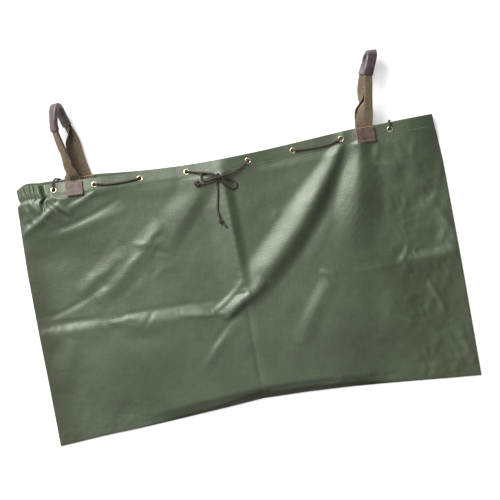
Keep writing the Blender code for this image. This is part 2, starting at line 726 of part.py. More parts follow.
def build():
    clear_scene()
    parts = new_collection("game transport sack")
    cutters = new_collection("hole cutters")
    seats = {}
    holes = {"front": [], "back": []}
    for face, places in (("front", FRONT_EYELETS_X), ("back", BACK_EYELETS_X)):
        for number, x in enumerate(places):
            seats[face, number] = eyelet_seat(face, x)
            holes[face].append(hole_cutter(f"cutter_{face}_{number + 1}", seats[face, number][0], cutters))
            eyelet(f"eyelet_{face}_{number + 1}", seats[face, number][0], parts)
    panel("front", FRONT_COLUMNS, FRONT_ROWS, parts, holes["front"])
    panel("back", BACK_COLUMNS, BACK_ROWS, parts, holes["back"])
    for name, rows in (("left", LEFT_HANDLE), ("right", RIGHT_HANDLE)):
        handle(name, rows, parts)
        for face, x in (("front", rows[1].x), ("back", rows[-2].x)):
            for outer in (True, False):
                where = "outer" if outer else "inner"
                patch(f"patch_{name}_{face}_{where}", face, x, outer, parts)
    drawcord(seats, parts)
    knot("bow_knot", KNOT_AT, KNOT_RADII, BOW_LIE, parts)
    knot("end_knot_left", LEFT_END_KNOT_AT, END_KNOT_RADII, BOW_LIE, parts)
    knot("end_knot_right", RIGHT_END_KNOT_AT, END_KNOT_RADII, BOW_LIE, parts)
    bow_piece("bow_loop_left", LEFT_LOOP, KNOT_HEIGHT, KNOT_HEIGHT, parts)
    bow_piece("bow_loop_right", RIGHT_LOOP, KNOT_HEIGHT, KNOT_HEIGHT, parts)
    bow_piece("cord_end_left", LEFT_END, 0.6, KNOT_HEIGHT, parts)
    bow_piece("cord_end_right", RIGHT_END, KNOT_HEIGHT, KNOT_HEIGHT, parts)
    bow_piece("cord_tail", TAIL, KNOT_HEIGHT, 0.0, parts)


build()
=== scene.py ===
import math

import bpy
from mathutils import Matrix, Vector
import numpy as np


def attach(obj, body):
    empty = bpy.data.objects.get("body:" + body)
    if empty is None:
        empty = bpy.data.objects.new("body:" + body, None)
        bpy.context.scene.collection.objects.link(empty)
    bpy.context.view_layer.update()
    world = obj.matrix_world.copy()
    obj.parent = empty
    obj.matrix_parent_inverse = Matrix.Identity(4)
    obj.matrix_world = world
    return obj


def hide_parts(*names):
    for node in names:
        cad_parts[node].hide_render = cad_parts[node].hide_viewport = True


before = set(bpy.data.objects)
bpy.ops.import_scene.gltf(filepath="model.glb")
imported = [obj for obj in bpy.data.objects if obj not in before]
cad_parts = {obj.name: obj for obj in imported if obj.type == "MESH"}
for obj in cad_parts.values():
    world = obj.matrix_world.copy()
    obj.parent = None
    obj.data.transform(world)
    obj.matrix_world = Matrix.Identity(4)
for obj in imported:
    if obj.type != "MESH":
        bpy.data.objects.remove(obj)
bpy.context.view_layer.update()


# The sack lies on its back and is seen from straight above, turned a little on the page. A large
# softbox stands beyond its upper left corner, a weak one beyond its bottom edge, and the room is pale.
MM = 0.001
PAGE_TURN = math.radians(-9.9)
PAGE_MIDDLE = (16.8, 68.7)
PAGE_WIDTH = 1176.0
PAGE_HEIGHT_ABOVE = 16.0
CAMERA_AWAY = 5000.0
KEY_PLACE = (-4000.0, 5800.0, 5100.0)
KEY_SIZE = 4.8
KEY_POWER = 1640.0
FILL_PLACE = (0.0, -900.0, 2300.0)
FILL_SIZE = 2.2
FILL_POWER = 12.0
ROOM_LIGHT = 0.26


def softbox(name, place, size, power):
    made = bpy.data.objects.new(name, bpy.data.lights.new(name, "AREA"))
    made.data.shape = "SQUARE"
    made.data.size = size
    made.data.energy = power
    made.location = Vector(place) * MM
    made.rotation_euler = (-made.location).to_track_quat("-Z", "Y").to_euler()
    bpy.context.scene.collection.objects.link(made)


camera = bpy.data.objects.new("camera", bpy.data.cameras.new("camera"))
camera.data.sensor_width = 36.0
camera.data.lens = camera.data.sensor_width * CAMERA_AWAY / PAGE_WIDTH
camera.location = Vector((*PAGE_MIDDLE, CAMERA_AWAY + PAGE_HEIGHT_ABOVE)) * MM
camera.rotation_euler = (0.0, 0.0, PAGE_TURN)
bpy.context.scene.collection.objects.link(camera)
bpy.context.scene.camera = camera
softbox("key", KEY_PLACE, KEY_SIZE, KEY_POWER)
softbox("fill", FILL_PLACE, FILL_SIZE, FILL_POWER)
room = bpy.data.worlds.new("room")
room.use_nodes = True
room.node_tree.nodes["Background"].inputs["Color"].default_value = (1.0, 1.0, 1.0, 1.0)
room.node_tree.nodes["Background"].inputs["Strength"].default_value = ROOM_LIGHT
bpy.context.scene.world = room
bpy.context.scene.view_settings.view_transform = "Standard"


# The two canvas panels: coated cotton canvas, cut alike, sewn at the sides and the bottom. The mouth
# has a folded-over hem. The front panel stands off the back one and holds the folds it was stored in.
SACK_WIDTH = 1000.0
SACK_DEPTH = 620.0
CANVAS = 1.2
HEM_WALL = 2.4
HEM_DEPTH = 28.0
HEM_RAMP = 47.0
HEM_LIFT = 7.9
HEM_WALL_RAMP = 44.0
HEM_PRESS = 0.62
PANEL_GAP = 0.3
MOUTH_RISE = 19.0
BELLY_RISE = 5.0
BELLY_HALF_WIDTH = 560.0
BELLY_WAVE = 700.0
HEM_SEAM_RUN = 80.0
CREASE_SEAM_RUN = 16.0
BODY_SEAM_RUN = 320.0
BODY_FOOT_RUN = 200.0
BOTTOM_ROLL_RUN = 30.0
BOTTOM_ROLL_SHARE = 0.8
HEM_TILT = 6.5
HEM_TILT_FROM_X = 8.0
HEM_TILT_RUN = 44.0
# where the roll along the bottom seam starts, is full, starts to fall, and ends
BOTTOM_ROLL = (-330.0, -140.0, 150.0, 340.0)
# Painted shade: the front canvas is darkened towards dark olive and dulled in a band along the bottom seam,
# where the cloth rolls under, and more softly at the lower right and at the left side.
BOTTOM_PAINTED_SHADE = (
    # x, height of the band of painted shade along the bottom seam
    (-310, 0.0),
    (-150, 9.0),
    (-20, 23.0),
    (6, 22.0),
    (12, 15.0),
    (180, 14.0),
    (330, 0.0),
)
RIGHT_PAINTED_SHADE = 0.3
LEFT_PAINTED_SHADE = 0.5
HEM_TO_BELLY = 100.0
HEM_TO_BODY = 160.0
CREST_X = 40.0
PLEAT_PITCH = 12.2
PLEAT_HEIGHT = 2.0
PLEAT_FROM_X = -498.0
PLEAT_TO_X = -444.0
TUCK_X = -440.0
TUCK_DEPTH = 14.0
TUCK_HALF_WIDTH = 5.0

RIMS = (
    # x, bottom, front top, back top, hem wave
    (-500, -310.0, 300.0, 300.0, 0.0),
    (-483, -309.0, 305.5, 309.5, -0.5),
    (-444, -306.5, 302.0, 308.6, -2.0),
    (-400, -303.5, 301.0, 307.5, -3.0),
    (-365, -302.0, 299.5, 306.5, 0.5),
    (-320, -300.5, 298.0, 307.0, 4.0),
    (-250, -296.5, 295.0, 300.5, 1.0),
    (-200, -293.5, 293.5, 296.0, -1.0),
    (-100, -287.0, 290.0, 290.5, 0.5),
    (-12, -280.5, 289.5, 286.5, 3.5),
    (100, -283.5, 293.5, 289.5, -2.0),
    (200, -289.0, 299.5, 294.0, -1.0),
    (270, -294.5, 304.0, 299.0, -2.0),
    (310, -298.0, 306.0, 301.6, 2.4),
    (360, -302.5, 306.0, 303.5, -0.5),
    (430, -309.0, 308.0, 305.5, -1.0),
    (500, -315.0, 310.0, 310.0, 0.0),
)
RIM_COLUMNS = {"bottom": 1, "front_top": 2, "back_top": 3, "hem_wave": 4}
SIDES = (
    # y, left, right
    (-310, -501.5, 503.5),
    (-160, -504.0, 503.5),
    (-40, -507.0, 503.5),
    (110, -509.0, 502.0),
    (200, -507.5, 501.0),
    (258, -505.7, 497.5),
    (271, -504.3, 496.0),
    (278, -495.7, 495.0),
    (291, -499.3, 493.5),
    (310, -500.0, 493.5),
)
FOLDS = (
    # name, start x y, middle x y, end x y, height, left flank, right flank, sharpness
    ("right shoulder ridge", 276, 292, 182, 112, -62, -84, 16.0, 42, 58, 0.15),
    ("handle ridge", 315, 292, 303, 147, 222, -20, 18.5, 68, 55, 0.1),
    ("valley by the right shoulder", 292, 262, 215, 140, 120, 30, -3.0, 34, 30, 0.0),
    ("centre crease", -18, 318, -18, 130, -12, -26, 11.5, 26, 60, 0.6),
    ("centre crease below", -12, 0, -10, -150, -9, -284, -2.4, 14, 12, 0.6),
    ("cross crease line left", -520, -21, -430, -25, -352, -28, -2.6, 6, 24, 0.9),
    ("cross crease left", -530, -46, -430, -49, -344, -47, 3.4, 20, 50, 0.2),
    ("cross crease step", -356, -30, -350, -40, -338, -50, -2.2, 6, 12, 0.8),
    ("cross crease crumple", -350, -40, -320, -46, -288, -42, 2.8, 9, 26, 0.7),
    ("cross crease line right", -304, -30, -200, -28, -70, -36, -2.8, 6, 24, 0.9),
    ("cross crease middle", -310, -52, -200, -56, -80, -60, 3.9, 26, 44, 0.3),
    ("cross crease chevron", -232, -34, -240, -50, -254, -66, -2.4, 8, 10, 0.8),
    ("cross crease notch", -300, -34, -286, -44, -268, -46, 2.6, 10, 8, 0.8),
    ("cross crease lip", -170, -52, -120, -64, -58, -68, 3.4, 16, 10, 0.75),
    ("crumple under the lip", -66, -58, -60, -70, -58, -82, -2.6, 8, 8, 0.7),
    ("rise to the centre", -96, -62, -52, -42, -8, 4, 3.6, 11, 7, 0.75),
    ("star facet lower", -72, -80, -34, -58, 4, -28, 11.0, 34, 17, 0.25),
    ("star beyond the crease", -14, -52, 10, -34, 40, -6, 5.0, 26, 20, 0.3),
    ("cross crease right", 250, -20, 300, -23, 372, -18, 1.6, 16, 16, 0.5),
    ("cross crease right end", 352, -16, 430, -19, 520, -10, 4.6, 18, 42, 0.3),
    ("upper band", -262, 118, -330, 72, -402, 34, 3.2, 22, 28, 0.25),
    ("upper band kink", -330, 82, -348, 68, -372, 60, 1.0, 12, 14, 0.4),
    ("lower band", -172, 172, -262, 66, -360, 12, 4.4, 34, 32, 0.25),
    ("lower band kink", -330, 36, -340, 58, -352, 66, -1.4, 12, 12, 0.4),
    ("blob ridge", -176, 158, -204, 138, -238, 116, 2.2, 20, 30, 0.3),
    ("blob dent", -206, 128, -194, 136, -176, 140, -2.6, 12, 14, 0.5),
    ("blob line", -262, 132, -230, 124, -198, 120, 1.8, 10, 9, 0.7),
    ("corner valley", -446, 189, -366, 196, -258, 242, -3.2, 10, 13, 0.9),
    ("corner band", -250, 218, -335, 196, -440, 172, 1.7, 26, 14, 0.35),
    ("corner crease", -520, 190, -462, 216, -412, 251, 6.0, 12, 20, 0.6),
    ("corner crease beyond", -414, 254, -400, 238, -378, 222, 6.5, 15, 12, 0.6),
    ("facet line", -390, 238, -354, 250, -318, 266, 4.0, 8, 18, 0.85),
    ("tuck mound", -424, 274, -404, 262, -380, 260, 4.2, 12, 13, 0.6),
    ("facet by the tuck", -436, 262, -424, 246, -414, 236, -4.0, 9, 9, 0.8),
    ("gather one", -492, 272, -486, 250, -474, 228, 4.0, 8, 9, 0.6),
    ("gather two", -474, 270, -466, 250, -450, 238, 4.0, 8, 10, 0.6),
    ("gather three", -456, 268, -452, 252, -446, 240, 2.4, 7, 8, 0.6),
    ("crease by the seam", -522, -14, -412, 0, -322, 52, -2.6, 7, 16, 0.95),
    ("bow swell", -46, 262, -72, 224, -186, 100, 7.0, 32, 58, 0.1),
    ("left lower streak", -44, -82, -88, -132, -138, -186, 2.2, 24, 13, 0.5),
    ("left lower valley", -26, -62, -62, -100, -106, -138, -2.0, 18, 18, 0.3),
    ("left dark band", -430, -70, -452, -120, -476, -190, 3.0, 34, 44, 0.0),
    ("left bottom dimple", -314, -236, -346, -258, -364, -290, -2.4, 26, 24, 0.1),
    ("left bottom ticks", -430, -236, -440, -252, -452, -268, -1.2, 16, 18, 0.2),
    ("right lower streak", 192, -34, 150, -70, 92, -172, 4.6, 36, 26, 0.25),
    ("bright spot by the streak", 170, -8, 186, -16, 206, -20, 3.0, 14, 10, 0.6),
    ("right side fold", 452, 118, 474, 66, 506, 12, 4.4, 28, 20, 0.3),
    ("right side fold lower", 484, 44, 470, 30, 462, 10, 2.4, 14, 14, 0.4),
    ("right lower fold", 414, -76, 434, -108, 444, -156, 3.2, 18, 14, 0.6),
    ("right corner fold", 454, -172, 482, -222, 490, -300, 2.8, 20, 15, 0.3),
    ("right corner fold beyond", 436, -196, 456, -240, 476, -276, 1.8, 16, 14, 0.3),
    ("right shaded step", 326, -82, 318, -130, 300, -200, 2.6, 70, 30, 0.1),
    ("right cross tick", 384, 14, 374, -4, 362, -20, 3.2, 14, 10, 0.7),
    ("right mid tick", 374, -168, 356, -158, 336, -146, 2.0, 12, 10, 0.6),
    ("right puckers", 354, 264, 351, 244, 338, 222, 2.0, 14, 12, 0.2),
    ("right puckers beyond", 446, 268, 440, 246, 424, 222, 2.2, 16, 14, 0.2),
    ("right puckers last", 396, 266, 401, 240, 412, 220, 1.8, 13, 12, 0.3),
    ("right diagonal", 330, 222, 362, 214, 392, 206, 1.8, 12, 10, 0.5),
    ("bottom tuck line", 56, -279, 118, -277, 182, -262, 2.4, 6, 6, 0.8),
    ("bottom tuck beyond", 196, -286, 250, -296, 318, -302, 2.2, 7, 6, 0.8),
    ("small fold in the calm", 98, 152, 88, 142, 84, 128, 1.2, 16, 12, 0.4),
)
FANS = {
    # name: (share of its full size at the hem, share of its run in which it dies out)
    "right shoulder ridge": (0.4, 0.3),
    "handle ridge": (0.4, 0.6),
}
CREASE_LINE = 3.8
COARSE_STEP = 4.6
BACK_STEP = 7.0
FINE_STEP = 2.35
HEM_ZONE_BELOW = 68.0
EYELET_ZONE = 12.0
EYELET_SET_IN = 15.5
EYELET_HOLE_R = 5.7
FRONT_EYELETS_X = (-413, -316, -209, -98, 48, 156, 272, 389)
BACK_EYELETS_X = (-387, -290, -188, -80, 58, 162, 272, 386)
STITCH_GROOVE = 0.5
STITCH_GROOVE_HALF = 2.6
RIM_ROUNDS = 4
SEARCH_ROUNDS = 6


def smooth_step(t):
    t = np.clip(t, 0.0, 1.0)
    return t * t * (3.0 - 2.0 * t)


def swell(distance, run):
    """0 at a seam, 1 from one run away: cloth leaves its seam steeply and rounds over."""
    t = np.clip(distance / run, 0.0, 1.0)
    return 1.0 - (1.0 - t) ** 2


def through(at, values, t):
    """A smooth curve through rows of values placed at rising positions."""
    at = np.asarray(at, float)
    values = np.asarray(values, float)
    slope = np.gradient(values, at, axis=0)
    t = np.asarray(t, float)
    i = np.clip(np.searchsorted(at, t, side="right") - 1, 0, len(at) - 2)
    step = at[i + 1] - at[i]
    s = (t - at[i]) / step
    if values.ndim == 2:
        s = s[:, None]
        step = step[:, None]
    return (
        (2 * s**3 - 3 * s**2 + 1) * values[i]
        + (s**3 - 2 * s**2 + s) * step * slope[i]
        + (3 * s**2 - 2 * s**3) * values[i + 1]
        + (s**3 - s**2) * step * slope[i + 1]
    )


def rim(column, x, smooth=True):
    at = [row[0] for row in RIMS]
    values = [row[RIM_COLUMNS[column]] for row in RIMS]
    if smooth:
        return through(at, values, np.clip(x, -SACK_WIDTH / 2, SACK_WIDTH / 2))
    return np.interp(x, at, values)


def fold_relief(x, y, fold):
    """One fold's rise, and how near its line a place is: a quadratic arc with two flanks.

    A fold that fans out starts at the hem already at a share of its full width and height.
    """
    name, x0, y0, x1, y1, x2, y2, height, left, right, sharp = fold
    fan, dies_in = FANS.get(name, (1.0, 0.0))
    reach = max(left, right) + 2.0
    rise = np.zeros(x.shape)
    near_line = np.zeros(x.shape)
    inside = (x > min(x0, x1, x2) - reach) & (x < max(x0, x1, x2) + reach)
    inside &= (y > min(y0, y1, y2) - reach) & (y < max(y0, y1, y2) + reach)
    t = np.linspace(0.0, 1.0, 61)
    ax, ay = ((1 - t) ** 2 * a + 2 * t * (1 - t) * b + t**2 * c for a, b, c in ((x0, x1, x2), (y0, y1, y2)))
    dx = x[inside][:, None] - ax
    dy = y[inside][:, None] - ay
    near = np.argmin(dx * dx + dy * dy, axis=-1)
    pick = np.arange(len(near))
    dx = dx[pick, near]
    dy = dy[pick, near]
    tx = np.gradient(ax)[near]
    ty = np.gradient(ay)[near]
    run = np.hypot(tx, ty)
    across = (tx * dy - ty * dx) / run
    beyond = np.abs(tx * dx + ty * dy) / run
    spread = fan + (1 - fan) * smooth_step(t[near] / 0.5)
    width = spread * (left + (right - left) * smooth_step(0.5 - across / 3.0))
    away = np.hypot(across, beyond)
    flank = np.clip(1.0 - away / width, 0.0, 1.0)
    if fan < 1:
        ends = spread * smooth_step((1 - t[near]) / dies_in)
    else:
        ends = np.sin(math.pi * t[near]) ** 0.45
    bell = flank * flank * (3.0 - 2.0 * flank)
    tent = flank * flank
    rise[inside] = height * ends * (bell + (tent - bell) * sharp)
    near_line[inside] = sharp * ends * np.exp(-((away / CREASE_LINE) ** 2)) * min(1.0, abs(height) / 4.0)
    return rise, near_line


def soft_noise(x, y, size, seed):
    """Smooth random rises between -1 and 1, about a size apart, the same on each run."""
    cells = np.random.default_rng(seed).uniform(-1.0, 1.0, (400, 400))
    u = np.asarray(x) / size + 200.0
    v = np.asarray(y) / size + 200.0
    i = np.floor(u).astype(int)
    j = np.floor(v).astype(int)
    s = smooth_step(u - i)
    r = smooth_step(v - j)
    low = cells[i, j] * (1 - s) + cells[i + 1, j] * s
    high = cells[i, j + 1] * (1 - s) + cells[i + 1, j + 1] * s
    return low * (1 - r) + high * r


def small_rises(x, y, hem):
    """The cloth's small random rises: all over, rougher at the right, ridged where it was creased.

    Each row or line gives a rise and a size in millimetres, and a seed.
    """
    calm = 1 - hem
    relief = calm * 0.9 * soft_noise(x, y, 90.0, 11)
    side = smooth_step((x - 300) / 90)
    relief += calm * (0.45 + 0.9 * side) * soft_noise(x, y, 31.0, 12)
    relief += calm * (0.15 + 0.2 * side) * soft_noise(x, y, 12.0, 13)
    relief += hem * (0.28 * soft_noise(x, y * 0.4, 15.0, 31) + 0.12 * soft_noise(x, y, 7.5, 32))
    storage = np.exp(-((np.abs(y + 40) / 26) ** 2)) * smooth_step((20 - x) / 60)
    relief += calm * storage * 0.6 * (1 - np.abs(soft_noise(x, y * 0.8, 21.0, 14)) * 2)
    corner = smooth_step((-350 - x) / 70) * smooth_step((y - 170) / 50)
    relief += calm * corner * 1.2 * (1 - np.abs(soft_noise(x + y * 0.5, y, 17.0, 15)) * 2)
    for rise, slant, size, seed in ((1.15, 0.4, 37.0, 16), (0.7, -0.3, 17.0, 19)):
        rough = soft_noise(x - y * slant, y * 0.8 + x * slant * 0.4, size, seed)
        relief += calm * side * rise * (1 - 2 * np.sqrt(rough**2 + 0.02))
    bands = np.exp(-(((x + 250) / 90) ** 2)) * np.exp(-(((y - 90) / 70) ** 2))
    relief += calm * bands * 0.8 * (1 - np.abs(soft_noise(x - y, y + x * 0.4, 30.0, 17)) * 2)
    low = smooth_step((-250 - y) / 40)
    relief += calm * low * 0.9 * (1 - np.abs(soft_noise(x, y * 2.0, 24.0, 18)) * 2)
    return relief


def panel_point(face, across, along, detail=True):
    """The middle of a panel's wall at nominal cloth coordinates: x, y, z, and its crease wear."""
    across = np.asarray(across, float)
    along = np.asarray(along, float)
    at = [row[0] for row in SIDES]
    left = np.interp(along, at, [row[1] for row in SIDES])
    right = np.interp(along, at, [row[2] for row in SIDES])
    x = left + (right - left) * (across / SACK_WIDTH + 0.5)
    bottom = rim("bottom", across, smooth=False)
    top = rim(face + "_top", across)
    y = bottom + (top - bottom) * (along / SACK_DEPTH + 0.5)
    below_top = top - y
    wear = np.zeros(x.shape)
    back = CANVAS / 2 + HEM_LIFT * smooth_step((HEM_DEPTH + HEM_RAMP - below_top) / HEM_RAMP)
    fallen = CANVAS / 2 + HEM_LIFT - back
    if face == "back":
        if detail:
            ripple = soft_noise(x, y, 34.0, 5) * smooth_step((HEM_DEPTH + HEM_RAMP - below_top) / 40)
            back = back + 0.5 * ripple * smooth_step((below_top - HEM_DEPTH - 6) / 14)
        return x, y, back, wear
    hem = smooth_step((HEM_DEPTH + 22 - below_top) / 20)
    doubled = smooth_step((HEM_DEPTH + HEM_WALL_RAMP - below_top) / HEM_WALL_RAMP)
    wall = CANVAS + (HEM_WALL - CANVAS) * doubled
    rolled = smooth_step((across - BOTTOM_ROLL[0]) / (BOTTOM_ROLL[1] - BOTTOM_ROLL[0]))
    rolled = rolled * smooth_step((BOTTOM_ROLL[3] - across) / (BOTTOM_ROLL[3] - BOTTOM_ROLL[2]))
    from_seam = SACK_WIDTH / 2 - np.abs(across)
    from_foot = along + SACK_DEPTH / 2
    roll = BOTTOM_ROLL_SHARE * rolled * (1 - (1 - np.clip(from_foot / BOTTOM_ROLL_RUN, 0, 1)) ** 1.3)
    foot = roll + (1 - BOTTOM_ROLL_SHARE * rolled) * smooth_step(from_foot / BODY_FOOT_RUN)
    by_hem = smooth_step((HEM_DEPTH + HEM_TO_BODY - below_top) / HEM_TO_BODY)
    body = smooth_step(from_seam / BODY_SEAM_RUN)
    free = foot * (body + (swell(from_seam, HEM_SEAM_RUN) - body) * by_hem)
    creased = swell(from_seam, CREASE_SEAM_RUN) * swell(from_foot, CREASE_SEAM_RUN)
    belly = 1 - ((across - CREST_X) / BELLY_HALF_WIDTH) ** 2
    belly = BELLY_RISE * belly * np.cos(math.pi * along / BELLY_WAVE)
    belly *= 1 - smooth_step((HEM_DEPTH + HEM_TO_BELLY - below_top) / HEM_TO_BELLY)
    relief = np.zeros(x.shape)
    for fold in FOLDS:
        rise, near_line = fold_relief(x, y, fold)
        relief += rise
        wear += near_line
    relief *= 1 - HEM_PRESS * smooth_step((HEM_DEPTH + 10 - below_top) / 15)
    wear *= 1 - hem
    if detail:
        relief += small_rises(x, y, hem)
    tilt = HEM_TILT * smooth_step((HEM_TILT_FROM_X - across) / HEM_TILT_RUN)
    tilt = tilt * np.clip(1 - below_top / HEM_DEPTH, 0, 1)
    lift = MOUTH_RISE + belly + fallen + hem * (rim("hem_wave", across) - tilt)
    stands = np.maximum(free * lift + creased * relief, 0.0)
    in_ruffle = smooth_step((across - PLEAT_FROM_X) / 7) * smooth_step((PLEAT_TO_X - across) / 7)
    turn = 2 * math.pi * (across - PLEAT_FROM_X) / PLEAT_PITCH
    waves = PLEAT_HEIGHT * np.cos(turn + 1.2 * np.sin(turn * 0.37 + below_top * 0.03))
    waves = waves * in_ruffle * smooth_step((HEM_DEPTH + 16 - below_top) / 20)
    tuck_flank = np.clip(1 - np.abs(across - TUCK_X) / TUCK_HALF_WIDTH, 0, 1)
    tuck = -TUCK_DEPTH * tuck_flank * smooth_step((70 - below_top) / 36)
    groove = -STITCH_GROOVE * np.exp(-(((below_top - HEM_DEPTH) / STITCH_GROOVE_HALF) ** 2))
    return x, y, back + wall + PANEL_GAP + stands + waves + tuck + groove, wear


def stations(face_eyelets):
    """Columns across the cloth: fine at the ruffles and at each eyelet, coarser elsewhere."""
    at = [-SACK_WIDTH / 2]
    while at[-1] < SACK_WIDTH / 2:
        here = at[-1]
        ruffled = here < TUCK_X + 14
        by_eyelet = any(abs(here + 2 - x) < EYELET_ZONE for x in face_eyelets)
        at.append(here + (FINE_STEP if ruffled or by_eyelet else COARSE_STEP))
    at[-1] = SACK_WIDTH / 2
    return at


def hem_rows(coarse):
    """Rows along the cloth from the bottom seam to the mouth: fine in the hem."""
    at = [-SACK_DEPTH / 2]
    while at[-1] < SACK_DEPTH / 2:
        left_over = SACK_DEPTH / 2 - at[-1]
        step = FINE_STEP if left_over < HEM_ZONE_BELOW - 22 else coarse
        at.append(at[-1] + step)
    at[-1] = SACK_DEPTH / 2
    return at


def top_at(face, x):
    """Where a panel's folded edge is, up the page, at one place across."""
    return float(rim(face + "_top", np.array([float(x)]))[0])


def cloth_of(face, x, y):
    """The nominal cloth coordinates under a real place on a panel."""
    across = float(x)
    along = float(y)
    for _ in range(SEARCH_ROUNDS):
        px, py, _, _ = panel_point(face, np.array([across]), np.array([along]), detail=False)
        across += float(x - px[0])
        along += float(y - py[0])
    return across, along


def panel_frame(face, x, y, reach=6.0):
    """A place on a panel's middle, with its outward normal and its tangents along X and Y."""
    across, along = cloth_of(face, x, y)
    u = across + np.array([-reach, reach, 0.0, 0.0, 0.0])
    v = along + np.array([0.0, 0.0, -6.0, 6.0, 0.0])
    px, py, pz, _ = panel_point(face, u, v, detail=False)
    points = [Vector((px[i], py[i], pz[i])) for i in range(5)]
    tx = (points[1] - points[0]).normalized()
    normal = tx.cross(points[3] - points[2]).normalized()
    if face == "back":
        normal = -normal
    return points[4], normal, tx, normal.cross(tx)


def closed_wall(points, faces, outer, inner):
    """A surface made a closed wall: two skins, joined by a rounded edge along every open border.

    Returns points, faces, and for each point the one of the surface that it stands over.
    """
    points = np.asarray(points, float)
    faces = np.asarray(faces)
    corners = points[faces]
    face_normal = np.cross(corners[:, 2] - corners[:, 0], corners[:, 3] - corners[:, 1])
    normal = np.zeros(points.shape)
    for k in range(4):
        np.add.at(normal, faces[:, k], face_normal)
    normal /= np.maximum(np.linalg.norm(normal, axis=1), 1e-9)[:, None]
    pairs = np.concatenate([faces[:, [k, (k + 1) % 4]] for k in range(4)])
    owned = set(map(tuple, pairs.tolist()))
    border = np.array([pair for pair in pairs.tolist() if (pair[1], pair[0]) not in owned])
    out = np.zeros(points.shape)
    if len(border):
        heading = points[border[:, 1]] - points[border[:, 0]]
        for k in range(2):
            np.add.at(out, border[:, k], np.cross(heading, normal[border[:, k]]))
    out /= np.maximum(np.linalg.norm(out, axis=1), 1e-9)[:, None]
    outer = np.broadcast_to(outer, len(points))[:, None]
    inner = np.broadcast_to(inner, len(points))[:, None]
    half = (outer + inner) / 2
    centre = points + normal * (outer - inner) / 2
    edge = np.unique(border) if len(border) else np.array([], int)
    skins = [points + normal * outer, points - normal * inner]
    over = [np.arange(len(points)), np.arange(len(points))]
    ring_of = [dict(zip(edge.tolist(), edge.tolist()))]
    count = 2 * len(points)
    for k in range(1, RIM_ROUNDS):
        turn = math.pi * k / RIM_ROUNDS
        ring = centre + (normal * math.cos(turn) + out * math.sin(turn)) * half
        skins.append(ring[edge])
        over.append(edge)
        ring_of.append(dict(zip(edge.tolist(), range(count, count + len(edge)))))
        count += len(edge)
    ring_of.append({i: i + len(points) for i in edge.tolist()})
    made = [faces, faces[:, ::-1] + len(points)]
    strips = []
    for a, b in border.tolist():
        for near, far in zip(ring_of, ring_of[1:]):
            strips.append((near[b], near[a], far[a], far[b]))
    if strips:
        made.append(np.array(strips))
    return np.concatenate(skins), np.concatenate(made), np.concatenate(over)


def mesh_piece(name, points, faces, material, corner_uv=None):
    """A smooth mesh from points in millimetres, with its own UV map in metres."""
    mesh = bpy.data.meshes.new(name)
    mesh.from_pydata((np.asarray(points) * MM).tolist(), [], [list(face) for face in faces])
    mesh.shade_smooth()
    mesh.materials.append(material)
    if corner_uv is not None:
        layer = mesh.uv_layers.new(name="cloth")
        layer.data.foreach_set("uv", (np.asarray(corner_uv, np.float32) * MM).ravel())
    made = bpy.data.objects.new(name, mesh)
    bpy.context.scene.collection.objects.link(made)
    return made


def linear(hex_colour):
    """An sRGB hex colour as linear red, green, blue, alpha."""
    parts = [int(hex_colour[i : i + 2], 16) / 255 for i in (1, 3, 5)]
    return (*[p / 12.92 if p <= 0.04045 else ((p + 0.055) / 1.055) ** 2.4 for p in parts], 1.0)


def plug(node, sockets):
    """Gives each named socket a value, or a link from an output or from a node's first output."""
    for key, value in sockets.items():
        if isinstance(value, bpy.types.Node):
            value = value.outputs[0]
        if isinstance(value, bpy.types.NodeSocket):
            node.id_data.links.new(value, node.inputs[key])
        else:
            node.inputs[key].default_value = value


def add_node(tree, kind, sockets=None, stops=(), **settings):
    """Adds a node with its settings and its sockets; a colour ramp takes its two stops as well."""
    made = tree.nodes.new(kind)
    for name, value in settings.items():
        setattr(made, name, value)
    for element, (at, hex_colour) in zip(made.color_ramp.elements if stops else (), stops):
        element.position = at
        element.color = linear(hex_colour)
    plug(made, sockets or {})
    return made


def new_finish(name):
    made = bpy.data.materials.new(name)
    made.use_nodes = True
    return made, made.node_tree, made.node_tree.nodes["Principled BSDF"]


